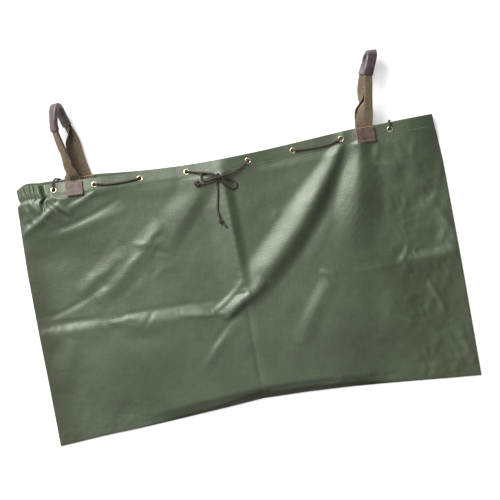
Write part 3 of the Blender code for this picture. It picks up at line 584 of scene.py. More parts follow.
def coated_canvas():
    """Coated cotton canvas: tight plain weave, waxy coat that glances softly and pales at creases, with
    painted shade that darkens and dulls it along the bottom seam and at the sides.
    """
    made, tree, shader = new_finish("coated canvas")
    cloth = add_node(tree, "ShaderNodeUVMap", uv_map="cloth")
    slubs = []
    for scale in (SLUBS_PER_METRE, SLUBS_PER_METRE[::-1]):
        drawn = add_node(tree, "ShaderNodeMapping", {"Vector": cloth, "Scale": (*scale, 1.0)})
        grain = {"Vector": drawn, "Scale": 1.0, "Detail": 2.0}
        slubs.append(add_node(tree, "ShaderNodeTexNoise", grain, noise_dimensions="2D"))
    threads = add_node(tree, "ShaderNodeMath", {0: slubs[0], 1: slubs[1]}, operation="ADD")
    cloudy = {"Vector": cloth, "Scale": CLOUDS_PER_METRE, "Detail": 7.0, "Roughness": 0.62}
    patches = add_node(tree, "ShaderNodeTexNoise", cloudy, noise_dimensions="2D")
    clouds = add_node(tree, "ShaderNodeMath", {0: patches, 1: 0.50}, operation="MULTIPLY")
    tone = add_node(tree, "ShaderNodeMath", {0: threads, 1: 0.26, 2: clouds}, operation="MULTIPLY_ADD")
    dyed = add_node(tree, "ShaderNodeValToRGB", {"Fac": tone}, ((0.36, "#29311f"), (0.66, "#3a4430")))
    wear = add_node(tree, "ShaderNodeAttribute", attribute_name="wear").outputs["Fac"]
    worn = add_node(tree, "ShaderNodeMath", {0: wear, 1: 0.3}, operation="MULTIPLY")
    # painted shade: mixes the dye towards dark olive #272b12 and lowers the gloss where it is set
    painted_shade = add_node(tree, "ShaderNodeAttribute", attribute_name="painted_shade").outputs["Fac"]
    colour = dyed.outputs["Color"]
    for share, over in ((worn, "#868d7e"), (painted_shade, "#272b12")):
        mixed = {"Factor": share, "A": colour, "B": linear(over)}
        colour = add_node(tree, "ShaderNodeMix", mixed, data_type="RGBA").outputs[2]
    split = add_node(tree, "ShaderNodeSeparateXYZ", {0: cloth})
    waves = []
    for k in range(2):
        turns = {0: split.outputs[k], 1: 2 * math.pi / (WEAVE_PITCH * MM)}
        angle = add_node(tree, "ShaderNodeMath", turns, operation="MULTIPLY")
        waves.append(add_node(tree, "ShaderNodeMath", {0: angle}, operation="SINE"))
    weave = add_node(tree, "ShaderNodeMath", {0: waves[0], 1: waves[1]}, operation="MULTIPLY")
    height = add_node(tree, "ShaderNodeMath", {0: weave, 1: 0.10, 2: threads}, operation="MULTIPLY_ADD")
    bump = add_node(tree, "ShaderNodeBump", {"Strength": 0.34, "Distance": 0.0006, "Height": height})
    uneven = {"Value": patches, 1: 0.3, 2: 0.7, 3: 0.46, 4: 0.54}
    rough = add_node(tree, "ShaderNodeMapRange", uneven)
    gloss = add_node(tree, "ShaderNodeMapRange", {"Value": painted_shade, 3: 1.0, 4: 0.35})
    plug(shader, {"Base Color": colour, "Normal": bump, "Roughness": rough, "Specular IOR Level": gloss})
    plug(shader, {"Specular Tint": linear("#f2f7ea"), "Sheen Weight": 0.08, "Sheen Roughness": 0.4})
    return made


# The real threads are about 0.6 mm apart, too fine to show here, so the weave is drawn at 2.2 mm.
# Slubs in the yarn are about 26 mm long and 2.4 mm apart, and clouds in the dye 140 mm across.
WEAVE_PITCH = 2.2
SLUBS_PER_METRE = (38.0, 420.0)
CLOUDS_PER_METRE = 7.0
CANVAS_FINISH = coated_canvas()


def canvas_panel(face, eyelets_x, coarse):
    columns = stations(eyelets_x)
    rows = hem_rows(coarse)
    across, along = (grid.ravel() for grid in np.meshgrid(columns, rows))
    width = len(columns)
    first = (np.arange(len(rows) - 1)[:, None] * width + np.arange(width - 1)).ravel()
    faces = np.stack((first, first + 1, first + 1 + width, first + width), axis=1)
    for x in eyelets_x:
        middle = cloth_of(face, x, top_at(face, x) - EYELET_SET_IN)
        away = np.hypot(across - middle[0], along - middle[1])
        inside = away < EYELET_HOLE_R
        faces = faces[~inside[faces].all(axis=1)]
        moved = (away < EYELET_HOLE_R + 0.9) & (away > 1e-6)
        grow = EYELET_HOLE_R / away[moved]
        across[moved] = middle[0] + (across[moved] - middle[0]) * grow
        along[moved] = middle[1] + (along[moved] - middle[1]) * grow
    used = np.unique(faces)
    renumber = np.zeros(len(across), int)
    renumber[used] = np.arange(len(used))
    faces = renumber[faces]
    across = across[used]
    along = along[used]
    x, y, z, wear = panel_point(face, across, along)
    top = rim(face + "_top", across)
    hemmed = smooth_step((HEM_DEPTH + 2 - (top - y)) / 3.0)
    half = (CANVAS + (HEM_WALL - CANVAS) * hemmed) / 2
    points = np.stack((x, y, z), axis=1)
    outward = faces if face == "front" else faces[:, ::-1]
    points, faces, over = closed_wall(points, outward, half, half)
    uv = np.stack((across, along), axis=1)[over]
    made = mesh_piece("canvas_" + face, points, faces, CANVAS_FINISH, uv[faces.ravel()])
    # painted shade along the bottom seam and at the right and left sides; the back panel gets none
    band = np.interp(across, *zip(*BOTTOM_PAINTED_SHADE))
    painted_shade = smooth_step((band - along - SACK_DEPTH / 2) / 5.0 + 0.5) * (band > 0)
    at_right = smooth_step((across - 230) / 160) * smooth_step((40 - along) / 90)
    at_left = smooth_step((-420 - across) / 70) * smooth_step((200 - along) / 60)
    painted_shade = np.maximum(np.maximum(painted_shade, RIGHT_PAINTED_SHADE * at_right), LEFT_PAINTED_SHADE * at_left)
    for label, values in (("wear", wear), ("painted_shade", painted_shade if face == "front" else painted_shade * 0)):
        layer = made.data.attributes.new(label, "FLOAT", "POINT")
        layer.data.foreach_set("value", np.clip(values[over], 0, 1).astype(np.float32))
    return made


def fitted(piece, slot, *nodes):
    """Puts a finished piece on the one body, in place of its CAD nodes; the slot argument is not used."""
    if nodes:
        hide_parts(*nodes)
    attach(piece, "root")
    return piece


front = canvas_panel("front", FRONT_EYELETS_X, COARSE_STEP)
back = canvas_panel("back", BACK_EYELETS_X, BACK_STEP)
fitted(front, "canvas", "panel_front")
fitted(back, "canvas", "panel_back")


# The stitching that holds the two hems down: one row of mid-green polyester lockstitch, about 27 mm
# below the folded edge. The stitches are 3.6 mm long.
STITCH_PITCH = 5.2
STITCH_LONG = 3.6
STITCH_THICK = 1.0
STITCH_SINK = 0.1
# flecks in the thread, 1.1 mm apart
FLECKS_PER_METRE = 900.0


def thread(name, hex_colour):
    """Polyester sewing thread: smooth and a little shiny, twisted too finely to show."""
    made, tree, shader = new_finish(name)
    place = add_node(tree, "ShaderNodeTexCoord").outputs["Object"]
    fleck = add_node(tree, "ShaderNodeTexNoise", {"Vector": place, "Scale": FLECKS_PER_METRE})
    dark, pale = ([value * share for value in linear(hex_colour)[:3]] + [1.0] for share in (0.8, 1.25))
    tone = add_node(tree, "ShaderNodeMix", {"Factor": fleck, "A": dark, "B": pale}, data_type="RGBA")
    plug(shader, {"Base Color": tone.outputs[2], "Roughness": 0.5})
    return made


def new_tree(name, inputs, result):
    """An empty geometry node tree with its named sockets, and what its input node gives."""
    tree = bpy.data.node_groups.new(name, "GeometryNodeTree")
    for label, kind in inputs.items():
        tree.interface.new_socket(name=label, in_out="INPUT", socket_type="NodeSocket" + kind)
    tree.interface.new_socket(name=result, in_out="OUTPUT", socket_type="NodeSocketGeometry")
    return tree, add_node(tree, "NodeGroupInput").outputs


def copies_placed(tree, points, copied, facing, axis, material, result):
    """Ends a tree: a copy on each point, turned to its facing, made real, in its material."""
    turned = add_node(tree, "FunctionNodeAlignEulerToVector", {"Vector": facing}, axis=axis)
    sockets = {"Points": points, "Instance": copied, "Rotation": turned}
    placed = add_node(tree, "GeometryNodeInstanceOnPoints", sockets)
    real = add_node(tree, "GeometryNodeRealizeInstances", {"Geometry": placed})
    done = add_node(tree, "GeometryNodeSetMaterial", {"Geometry": real, "Material": material})
    add_node(tree, "NodeGroupOutput", {result: done})


def stitching_tree():
    """Stitches along a path: resampled to the pitch, a small capsule turned to each heading."""
    inputs = {"Path": "Geometry", "Pitch": "Float", "Length": "Float", "Thickness": "Float"}
    tree, given = new_tree("stitching", inputs | {"Thread": "Material"}, "Stitches")
    sockets = {"Curve": given["Path"], "Length": given["Pitch"]}
    spaced = add_node(tree, "GeometryNodeResampleCurve", sockets, mode="LENGTH")
    heading = add_node(tree, "GeometryNodeInputTangent")
    ball = add_node(tree, "GeometryNodeMeshUVSphere", {"Segments": 6, "Rings": 5, "Radius": 0.5})
    sockets = {"X": given["Length"], "Y": given["Thickness"], "Z": given["Thickness"]}
    size = add_node(tree, "ShaderNodeCombineXYZ", sockets)
    capsule = add_node(tree, "GeometryNodeTransform", {"Geometry": ball, "Scale": size})
    copies_placed(tree, spaced, capsule, heading, "X", given["Thread"], "Stitches")
    return tree


def grown(name, base, tree, inputs, material):
    """A plain mesh piece from what a node tree makes of a base object, which is then removed."""
    maker = base.modifiers.new("maker", "NODES")
    maker.node_group = tree
    for item in tree.interface.items_tree:
        if item.in_out == "INPUT" and item.name in inputs:
            maker[item.identifier] = inputs[item.name]
    bpy.context.scene.collection.objects.link(base)
    bpy.context.view_layer.update()
    seen = base.evaluated_get(bpy.context.evaluated_depsgraph_get())
    mesh = bpy.data.meshes.new_from_object(seen)
    mesh.name = name
    mesh.shade_smooth()
    mesh.polygons.foreach_set("material_index", [0] * len(mesh.polygons))
    mesh.materials.clear()
    mesh.materials.append(material)
    made = bpy.data.objects.new(name, mesh)
    bpy.context.scene.collection.objects.link(made)
    bpy.data.objects.remove(base, do_unlink=True)
    return made


def open_path(name, lines):
    """Poly curve of one or more lines of points in millimetres."""
    curve = bpy.data.curves.new(name, "CURVE")
    curve.dimensions = "3D"
    for points in lines:
        spline = curve.splines.new("POLY")
        spline.points.add(len(points) - 1)
        for place, point in zip(spline.points, points):
            place.co = (*(Vector(point) * MM), 1.0)
    return bpy.data.objects.new(name, curve)


def stitched(name, lines, material, slot, pitch=STITCH_PITCH, long=STITCH_LONG, thick=STITCH_THICK):
    sizes = {"Pitch": pitch * MM, "Length": long * MM, "Thickness": thick * MM, "Thread": material}
    return fitted(grown(name, open_path("path", lines), STITCHING, sizes, material), slot)


def along_hem(face, x_from, x_to, below, out):
    """Points on a panel's outer skin, this far below its folded edge."""
    across = np.arange(x_from, x_to, 3.0)
    top = rim(face + "_top", across)
    bottom = rim("bottom", across, smooth=False)
    along = ((top - below - bottom) / (top - bottom) - 0.5) * SACK_DEPTH
    x, y, z, _ = panel_point(face, across, along)
    return np.stack((x, y, z + out), axis=1).tolist()


STITCHING = stitching_tree()
GREEN_THREAD = thread("green polyester thread", "#828b74")
for face, out in (("front", HEM_WALL / 2 - STITCH_SINK), ("back", -HEM_WALL / 2 + STITCH_SINK)):
    rows = [along_hem(face, TUCK_X + 10, 490, HEM_DEPTH - 1, out)]
    rows.append(along_hem(face, -490, TUCK_X - 8, HEM_DEPTH - 1, out))
    stitched("hem_stitches_" + face, rows, GREEN_THREAD, "canvas")


# The sixteen eyelets: two-part rolled brass eyelets with a washer, set through the doubled hems,
# eight in each. The rolled rim is about 15 mm across, and the bore 8.6 mm.
EYELET_BORE_R = 4.3
EYELET_R = 7.5
EYELET_ROLL_THICK = 1.5
EYELET_ROLL_OUT = 1.75
EYELET_BARREL_WALL = 0.5
# handling has left dull spots of about 6 mm
DULL_SPOTS_PER_METRE = 160.0


def brass():
    """Spun brass, a little dulled by handling: pale yellow, uneven in its gloss."""
    made, tree, shader = new_finish("spun brass")
    place = add_node(tree, "ShaderNodeTexCoord").outputs["Object"]
    spots = {"Vector": place, "Scale": DULL_SPOTS_PER_METRE, "Detail": 4.0}
    dull = add_node(tree, "ShaderNodeTexNoise", spots)
    tone = add_node(tree, "ShaderNodeValToRGB", {"Fac": dull}, ((0.35, "#ab9f75"), (0.62, "#ddd6b2")))
    rough = add_node(tree, "ShaderNodeMapRange", {"Value": dull, 1: 0.3, 2: 0.7, 3: 0.40, 4: 0.24})
    plug(shader, {"Base Color": tone, "Roughness": rough, "Metallic": 1.0})
    return made


def eyelet_tree():
    """An eyelet on each point, turned to the point's facing: two rolled rims and a barrel."""
    sizes = dict.fromkeys(("Bore", "Rim", "Roll Thickness", "Roll Out", "Barrel Wall"), "Float")
    tree, given = new_tree("eyelets", {"Seats": "Geometry"} | sizes | {"Brass": "Material"}, "Eyelets")

    def swept(radius, wide, high):
        path = add_node(tree, "GeometryNodeCurvePrimitiveCircle", {"Resolution": 40, "Radius": radius})
        ring = add_node(tree, "GeometryNodeCurvePrimitiveCircle", {"Resolution": 14, "Radius": 0.5})
        size = add_node(tree, "ShaderNodeCombineXYZ", {"X": wide, "Y": high, "Z": 1.0})
        profile = add_node(tree, "GeometryNodeTransform", {"Geometry": ring, "Scale": size})
        return add_node(tree, "GeometryNodeCurveToMesh", {"Curve": path, "Profile Curve": profile})

    across = add_node(tree, "ShaderNodeMath", {0: given["Bore"], 1: given["Rim"]}, operation="ADD")
    middle_r = add_node(tree, "ShaderNodeMath", {0: across, 1: 0.5}, operation="MULTIPLY")
    roll = {0: given["Rim"], 1: given["Bore"]}
    roll_wide = add_node(tree, "ShaderNodeMath", roll, operation="SUBTRACT")
    half_wall = add_node(tree, "ShaderNodeMath", {0: given["Barrel Wall"], 1: 0.5}, operation="MULTIPLY")
    barrel_r = add_node(tree, "ShaderNodeMath", {0: given["Bore"], 1: half_wall}, operation="ADD")
    barrel_high = add_node(tree, "ShaderNodeMath", {0: given["Roll Out"], 1: 2.0}, operation="MULTIPLY")
    downwards = add_node(tree, "ShaderNodeMath", {0: given["Roll Out"], 1: -1.0}, operation="MULTIPLY")
    rolled = swept(middle_r, roll_wide, given["Roll Thickness"])
    parts = []
    for out in (given["Roll Out"], downwards):
        moved = add_node(tree, "ShaderNodeCombineXYZ", {"Z": out})
        parts.append(add_node(tree, "GeometryNodeTransform", {"Geometry": rolled, "Translation": moved}))
    parts.append(swept(barrel_r, given["Barrel Wall"], barrel_high))
    whole = add_node(tree, "GeometryNodeJoinGeometry")
    for part in parts:
        plug(whole, {"Geometry": part})
    facing = add_node(tree, "GeometryNodeInputNamedAttribute", {"Name": "facing"}, data_type="FLOAT_VECTOR")
    copies_placed(tree, given["Seats"], whole, facing, "Z", given["Brass"], "Eyelets")
    return tree


BRASS = brass()
EYELETS = eyelet_tree()
seats = {}
for face, places in (("front", FRONT_EYELETS_X), ("back", BACK_EYELETS_X)):
    for number, x in enumerate(places):
        seats[face, number] = panel_frame(face, x, top_at(face, x) - EYELET_SET_IN, reach=14.0)[:2]
    mesh = bpy.data.meshes.new("seats")
    mesh.from_pydata([seats[face, i][0] * MM for i in range(len(places))], [], [])
    facing = mesh.attributes.new("facing", "FLOAT_VECTOR", "POINT")
    facing.data.foreach_set("vector", [v for i in range(len(places)) for v in seats[face, i][1]])
    sizes = {
        "Bore": EYELET_BORE_R * MM,
        "Rim": EYELET_R * MM,
        "Roll Thickness": EYELET_ROLL_THICK * MM,
        "Roll Out": EYELET_ROLL_OUT * MM,
        "Barrel Wall": EYELET_BARREL_WALL * MM,
        "Brass": BRASS,
    }
    piece = grown("eyelets_" + face, bpy.data.objects.new("seats", mesh), EYELETS, sizes, BRASS)
    fitted(piece, "brass", *[f"eyelet_{face}_{i + 1}" for i in range(len(places))])


# The drawcord: one 4.5 mm braided polyester cord, dark brown. It is laced in and out of the eyelets,
# behind the handle patches and over both hems at the ends, and is tied at the middle of the front.
CORD = 4.5
CORD_LIE = CORD / 2 + 0.35
CORD_SIDES = 14
CORD_STEP = 1.9
BRAID_PITCH = 5.0
BRAID_STRANDS = 4
# loose fibres on the braid, in tufts of 2.4 mm
CORD_FUZZ_PER_METRE = 420.0
PATCH_GAP = 0.9
PATCH_WALL = 1.8
# x, y and height over its lie of the cord's two stretches between the bow and the nearest eyelets
FROM_BOW = (
    (-31.5, 252.6, 5.4), (-38, 254.4, 7.8), (-47, 257.3, 7.8), (-60, 262.3, 6.8), (-76, 268.3, 3.0),
)
TO_BOW = (
    (31, 264.5, 1.5), (20, 259.5, 1.5), (5, 254.5, 2.0), (-9, 251.8, 3.0), (-19, 251.0, 3.6),
    (-26, 251.4, 3.2),
)


def braided_cord():
    """Braided polyester cord: strands crossing on the diagonal, matt, with pale flecks, and painted shade
    in the grooves between the strands.
    """
    made, tree, shader = new_finish("braided polyester cord")
    cloth = add_node(tree, "ShaderNodeUVMap", uv_map="cloth")
    split = add_node(tree, "ShaderNodeSeparateXYZ", {0: cloth}).outputs
    # u runs 0 to 1 mm round the cord and v is the run along it, both stored in metres
    turns = []
    for side, per_metre in ((split[0], BRAID_STRANDS / MM), (split[1], 1 / (BRAID_PITCH * MM))):
        sockets = {0: side, 1: 2 * math.pi * per_metre}
        turns.append(add_node(tree, "ShaderNodeMath", sockets, operation="MULTIPLY"))
    strands = []
    for how in ("ADD", "SUBTRACT"):
        angle = add_node(tree, "ShaderNodeMath", {0: turns[1], 1: turns[0]}, operation=how)
        strands.append(add_node(tree, "ShaderNodeMath", {0: angle}, operation="SINE"))
    braid = add_node(tree, "ShaderNodeMath", {0: strands[0], 1: strands[1]}, operation="MAXIMUM")
    place = add_node(tree, "ShaderNodeTexCoord").outputs["Object"]
    tufts = {"Vector": place, "Scale": CORD_FUZZ_PER_METRE, "Detail": 3.0}
    fuzz = add_node(tree, "ShaderNodeTexNoise", tufts)
    mixed = add_node(tree, "ShaderNodeMath", {0: braid, 1: 0.22, 2: fuzz}, operation="MULTIPLY_ADD")
    # painted shade: the grooves between the strands take the darker colour
    tone = add_node(tree, "ShaderNodeValToRGB", {"Fac": mixed}, ((0.38, "#17130f"), (0.85, "#494030")))
    bump = add_node(tree, "ShaderNodeBump", {"Strength": 0.8, "Distance": 0.0006, "Height": mixed})
    plug(shader, {"Base Color": tone, "Normal": bump, "Roughness": 0.72})
    return made


def smooth_route(points, step):
    """Points read off one smooth curve through a route's own points, about a step apart."""
    points = np.array([tuple(point) for point in points])
    runs = np.linalg.norm(np.diff(points, axis=0), axis=1)
    at = np.concatenate(([0.0], np.cumsum(np.sqrt(runs))))
    t = [at[0]]
    for start, end, run in zip(at, at[1:], runs):
        count = max(1, round(run / step))
        t.extend(np.linspace(start, end, count + 1)[1:])
    return through(at, points, t)


def cord_tube(line, radius, closed=False):
    """A round cord about a line of points in millimetres, its ends rounded off."""
    line = np.asarray(line, float)
    count = len(line)
    ahead = np.roll(line, -1, axis=0) - np.roll(line, 1, axis=0) if closed else np.gradient(line, axis=0)
    ahead /= np.linalg.norm(ahead, axis=1)[:, None]
    side = np.cross(ahead[0], (0.0, 0.0, 1.0))
    if np.linalg.norm(side) < 0.1:
        side = np.cross(ahead[0], (1.0, 0.0, 0.0))
    sides = []
    for heading in ahead:
        side = side - heading * side.dot(heading)
        side /= np.linalg.norm(side)
        sides.append(side)
    sides = np.array(sides)
    ups = np.cross(ahead, sides)
    run = np.concatenate(([0.0], np.cumsum(np.linalg.norm(np.diff(line, axis=0), axis=1))))
    thick = np.full(count, float(radius))
    if not closed:
        nose = radius * 0.8
        for end in (run, run[-1] - run):
            near = np.clip(end / nose, 0.0, 1.0)
            thick = np.minimum(thick, radius * (0.35 + 0.65 * np.sqrt(1 - (1 - near) ** 2)))
    turn = np.linspace(0, 2 * math.pi, CORD_SIDES, endpoint=False)
    ring = sides[:, None] * np.cos(turn)[None, :, None] + ups[:, None] * np.sin(turn)[None, :, None]
    points = (line[:, None] + ring * thick[:, None, None]).reshape(-1, 3)
    faces = []
    uv = []
    last = count if closed else count - 1
    for i in range(last):
        j = (i + 1) % count
        v0 = run[i]
        v1 = run[i + 1] if i + 1 < count else run[i] + np.linalg.norm(line[0] - line[-1])
        for k in range(CORD_SIDES):
            n = (k + 1) % CORD_SIDES
            faces.append((i * CORD_SIDES + k, i * CORD_SIDES + n, j * CORD_SIDES + n, j * CORD_SIDES + k))
            u0 = k / CORD_SIDES
            u1 = (k + 1) / CORD_SIDES
            uv.extend(((u0, v0), (u1, v0), (u1, v1), (u0, v1)))
    if not closed:
        faces.append(tuple(range(CORD_SIDES))[::-1])
        faces.append(tuple(range((count - 1) * CORD_SIDES, count * CORD_SIDES)))
        uv.extend([(0.5, run[0])] * CORD_SIDES + [(0.5, run[-1])] * CORD_SIDES)
    return points, faces, uv


def cord_piece(name, line, node, radius=CORD / 2):
    points, faces, uv = cord_tube(line, radius)
    return fitted(mesh_piece(name, points, faces, CORD_FINISH, uv), "cord", node)


def wall_half(face, x, y):
    return (HEM_WALL if top_at(face, x) - y < HEM_DEPTH + 6 else CANVAS) / 2


def off_panel(face, x, y, height):
    """A place that stands this far off the middle of a panel, outwards if positive."""
    middle, normal, _, _ = panel_frame(face, x, y)
    return middle + normal * height


def on_front(x, y, extra=0.0):
    """A cord's middle where it lies on the front panel."""
    return off_panel("front", x, y, wall_half("front", x, y) + CORD_LIE + extra)


def through_eyelet(face, number, heading, out):
    """The cord out of a bore on one side, then down beside it, towards a heading on the hem."""
    middle, normal = seats[face, number]
    heading = (heading - normal * heading.dot(normal)).normalized()
    steps = ((0.5, 3.2), (3.7, 6.1), (12.5, 4.9))
    return [middle + heading * run + normal * out * rise for run, rise in steps]


def strand(face, a, b, out, middles):
    """One strand of the lacing from eyelet a to eyelet b of a face, by way of its middles."""
    start = seats[face, a][0]
    end = seats[face, b][0]
    leave = through_eyelet(face, a, Vector(middles[0]) - start, out)
    reach = through_eyelet(face, b, Vector(middles[-1]) - end, out)
    return leave + [Vector(place) for place in middles] + reach[::-1]


def over_the_hems(number):
    """The turn round both hems at an end of the mouth, from the front eyelet to the back one."""
    start = seats["front", number][0]
    end = seats["back", number][0]
    out_x = start.x + 2 if number == 0 else start.x + 3
    top_front = top_at("front", out_x)
    top_back = top_at("back", end.x)
    crest = max(top_front, top_back) + CORD / 2 + 0.5 + 1.5
    across = end.x - out_x
    places = [
        Vector((out_x - 2, top_front - 2.5, start.z + 5.8)),
        Vector((out_x - 2, top_front + 2.6, start.z + 4.4)),
        Vector((out_x, top_front + 4.4, start.z - 0.5)),
        Vector((out_x + across * 0.2, crest + 0.6, (start.z + end.z) / 2)),
        Vector((out_x + across * 0.4, top_back + 4.0, end.z + 1.5)),
        Vector((out_x + across * 0.6, top_back + 3.0, end.z - 3.6)),
    ]
    up = Vector((0.0, 1.0, 0.0))
    leave, reach = (through_eyelet(face, number, up, 1)[:2] for face in ("front", "back"))
    return leave + places + reach[::-1]


def lacing_route():
    """The drawcord's whole run: from the bow round the mouth and back to the bow."""
    outside = HEM_WALL / 2 + CORD / 2 + 0.7
    behind_patch = -(HEM_WALL / 2 + PATCH_GAP + PATCH_WALL + CORD / 2 + 2.0)
    inside = -(HEM_WALL / 2 + CORD / 2 + 1.1)

    def on(face, places, height):
        return [off_panel(face, x, y, height) for x, y in places]

    route = [on_front(*place) for place in FROM_BOW]
    route += through_eyelet("front", 3, route[-1] - seats["front", 3][0], 1)[::-1]
    route += strand("front", 3, 2, -1, on("front", ((-154, 277),), inside))
    route += strand("front", 2, 1, 1, on("front", ((-236, 276.5), (-262, 276), (-290, 277.5)), outside))
    route += strand("front", 1, 0, -1, on("front", ((-365, 283),), behind_patch))
    route += over_the_hems(0)
    route += strand("back", 0, 1, -1, on("back", ((-352, 289), (-315, 289)), behind_patch))
    route += strand("back", 1, 2, 1, on("back", ((-240, 282),), outside))
    route += strand("back", 2, 3, -1, on("back", ((-134, 276),), inside))
    route += strand("back", 3, 4, 1, on("back", ((-11, 268),), outside))
    route += strand("back", 4, 5, -1, on("back", ((110, 273),), inside))
    route += strand("back", 5, 6, 1, on("back", ((217, 277),), outside))
    route += strand("back", 6, 7, -1, on("back", ((325, 286),), behind_patch))
    route += over_the_hems(7)[::-1]
    route += strand("front", 7, 6, -1, on("front", ((330, 288),), behind_patch))
    route += strand("front", 6, 5, 1, on("front", ((244, 281), (215, 279), (180, 279.5)), outside))
    route += strand("front", 5, 4, -1, on("front", ((102, 278),), inside))
    tail = [on_front(*place) for place in TO_BOW]
    return route + through_eyelet("front", 4, tail[0] - seats["front", 4][0], 1) + tail


CORD_FINISH = braided_cord()
cord_piece("drawcord_laced", smooth_route(lacing_route(), CORD_STEP), "drawcord")


# The bow at the middle of the front, in the same cord: a knot drawn tight, two loops, and two ends
# with an overhand knot near each tip. The long end hangs down the front and lies on the canvas.
KNOTS = (
    # name, place, heading, size, flatness, cord radius, CAD node
    ("bow_knot_tied", (-28.6, 251.5), 0.5, 1.9, 1.5, 2.6, "bow_knot"),
    ("end_knot_left_tied", (-78.6, 243.0), 0.2, 1.62, 1.5, 2.7, "end_knot_left"),
    ("end_knot_right_tied", (-37.5, 148.0), 1.1, 1.35, 1.4, 2.2, "end_knot_right"),
)
TAIL_RADIUS = 2.1
BOW_LIE = 0.4
KNOT_LIE = 6.0
KNOT_HEIGHT = 3.4
LEFT_LOOP = (
    (-31.0, 253.6), (-37, 256.9), (-45.5, 260.6), (-54.6, 262.7), (-61.9, 262.0), (-66.1, 256.0),
    (-64.2, 249.0), (-57.6, 245.9), (-48.5, 246.8), (-39.0, 249.4), (-31.5, 251.2),
)
RIGHT_LOOP = (
    (-25.5, 249.6), (-16, 246.0), (-6, 241.6), (3, 237.2), (10.1, 232.0), (12.6, 226.9), (10.6, 221.0),
    (5.4, 217.6), (-0.8, 218.4), (-8.5, 223.2), (-16.5, 231.0), (-23.5, 240.0), (-28.4, 247.0),
)
LEFT_END = ((-31.5, 248.6), (-36.5, 245.2), (-46, 242), (-57, 240.2), (-65, 239.8), (-74, 241.6))
RIGHT_END = (
    (-30.6, 248.2), (-31.6, 242), (-31.8, 230), (-34, 210), (-38.3, 189), (-41.2, 173),
    (-40.2, 164), (-38.0, 153.0),
)
TAIL = ((-36.0, 146.0), (-33.2, 140.9), (-30.5, 136.5), (-26.5, 129.5))


def bow_line(places, first_rise, last_rise):
    """A bow piece's line: it lies on the canvas and rises at its ends to meet a knot."""
    rises = [BOW_LIE] * len(places)
    rises[0] += first_rise
    rises[-1] += last_rise
    if len(places) > 4:
        rises[1] += first_rise * 0.7
        rises[-2] += last_rise * 0.7
    return smooth_route([on_front(x, y, extra) for (x, y), extra in zip(places, rises)], CORD_STEP)


def overhand(name, place, heading, size, flat, radius, node):
    """An overhand knot drawn tight: the cord along a three-lobed closed run."""
    t = np.linspace(0, 2 * math.pi, 90, endpoint=False)
    run = np.stack(
        (np.sin(t) + 2 * np.sin(2 * t), np.cos(t) - 2 * np.cos(2 * t), -flat * np.sin(3 * t)), axis=1
    )
    c, s = math.cos(heading), math.sin(heading)
    run = run @ np.array(((c, s, 0), (-s, c, 0), (0, 0, 1)))
    centre = np.array(off_panel("front", *place, CANVAS / 2 + KNOT_LIE + BOW_LIE))
    points, faces, uv = cord_tube(run * size + centre, radius, closed=True)
    return fitted(mesh_piece(name, points, faces, CORD_FINISH, uv), "cord", node)


def free_cord(name, places, rises, node):
    line = bow_line(places, *rises)
    made = cord_piece(name, line, node)
    return made


knots = {row[-1]: overhand(*row) for row in KNOTS}
tail_piece = cord_piece("cord_tail_tip", bow_line(TAIL, KNOT_HEIGHT, 0.0), "cord_tail", radius=TAIL_RADIUS)
free_cord("bow_loop_left_cord", LEFT_LOOP, (KNOT_HEIGHT, KNOT_HEIGHT), "bow_loop_left")
free_cord("bow_loop_right_cord", RIGHT_LOOP, (KNOT_HEIGHT, KNOT_HEIGHT), "bow_loop_right")
free_cord("cord_end_left_run", LEFT_END, (0.6, KNOT_HEIGHT), "cord_end_left")
free_cord("cord_end_right_run", RIGHT_END, (KNOT_HEIGHT, KNOT_HEIGHT), "cord_end_right")


# The two handles: brown 38 mm cotton webbing, sewn flat to the hems and folded in half lengthwise
# where the leather grip wraps it. Each is one strip from the front hem to the back hem.
WEB_WIDTH = 38.0
WEB_WALL = 1.8
WEB_FOLD_TURN = math.radians(174)
WEB_STATIONS = (0.0, 0.9, 1.8, 2.8, 5.5, 8.5, 11.5, 14.5, 17.3, 19.0)
WEB_STEP = 3.2
WEB_RIB_PITCH = 2.6
# the cotton's fluff, in tufts of 3 mm
WEB_FUZZ_PER_METRE = 330.0
LEG_GAP = 0.5
LEFT_HANDLE = (
    # x, y, z (None where it is sewn to a hem), lean, fold, sleeved
    (-365.5, 272, None, 180, 0.00, 0),
    (-365.5, 288, None, 180, 0.00, 0),
    (-365.5, 301, None, 178, 0.12, 0),
    (-367.5, 313, 35.5, 158, 0.44, 0),
    (-371.6, 330, 37.5, 136, 0.70, 0),
    (-370.8, 350, 39.0, 92, 0.98, 0),
    (-373.6, 366, 40.5, 58, 1.00, 0),
    (-377.6, 382, 41.5, 58, 1.00, 0),
    (-381.6, 400, 42.5, 50, 1.00, 0),
    (-385.0, 421, 43.0, 40, 1.00, 1),
    (-383.2, 452, 42.5, 36, 1.00, 1),
    (-379.0, 472, 38.5, 46, 1.00, 1),
    (-374.5, 480, 29.0, 54, 1.00, 1),
    (-369.0, 472, 19.5, 52, 1.00, 1),
    (-364.5, 455, 14.5, 48, 1.00, 1),
    (-357.0, 431, 13.0, 45, 1.00, 1),
    (-353.0, 411, 11.5, 34, 0.70, 0),
    (-351.5, 390, 9.8, 15, 0.32, 0),
    (-349.0, 364, 8.4, 8, 0.24, 0),
    (-345.0, 334, 7.2, 4, 0.18, 0),
    (-341.0, 312, None, 0, 0.06, 0),
    (-339.0, 290, None, 0, 0.00, 0),
    (-339.0, 277, None, 0, 0.00, 0),
)
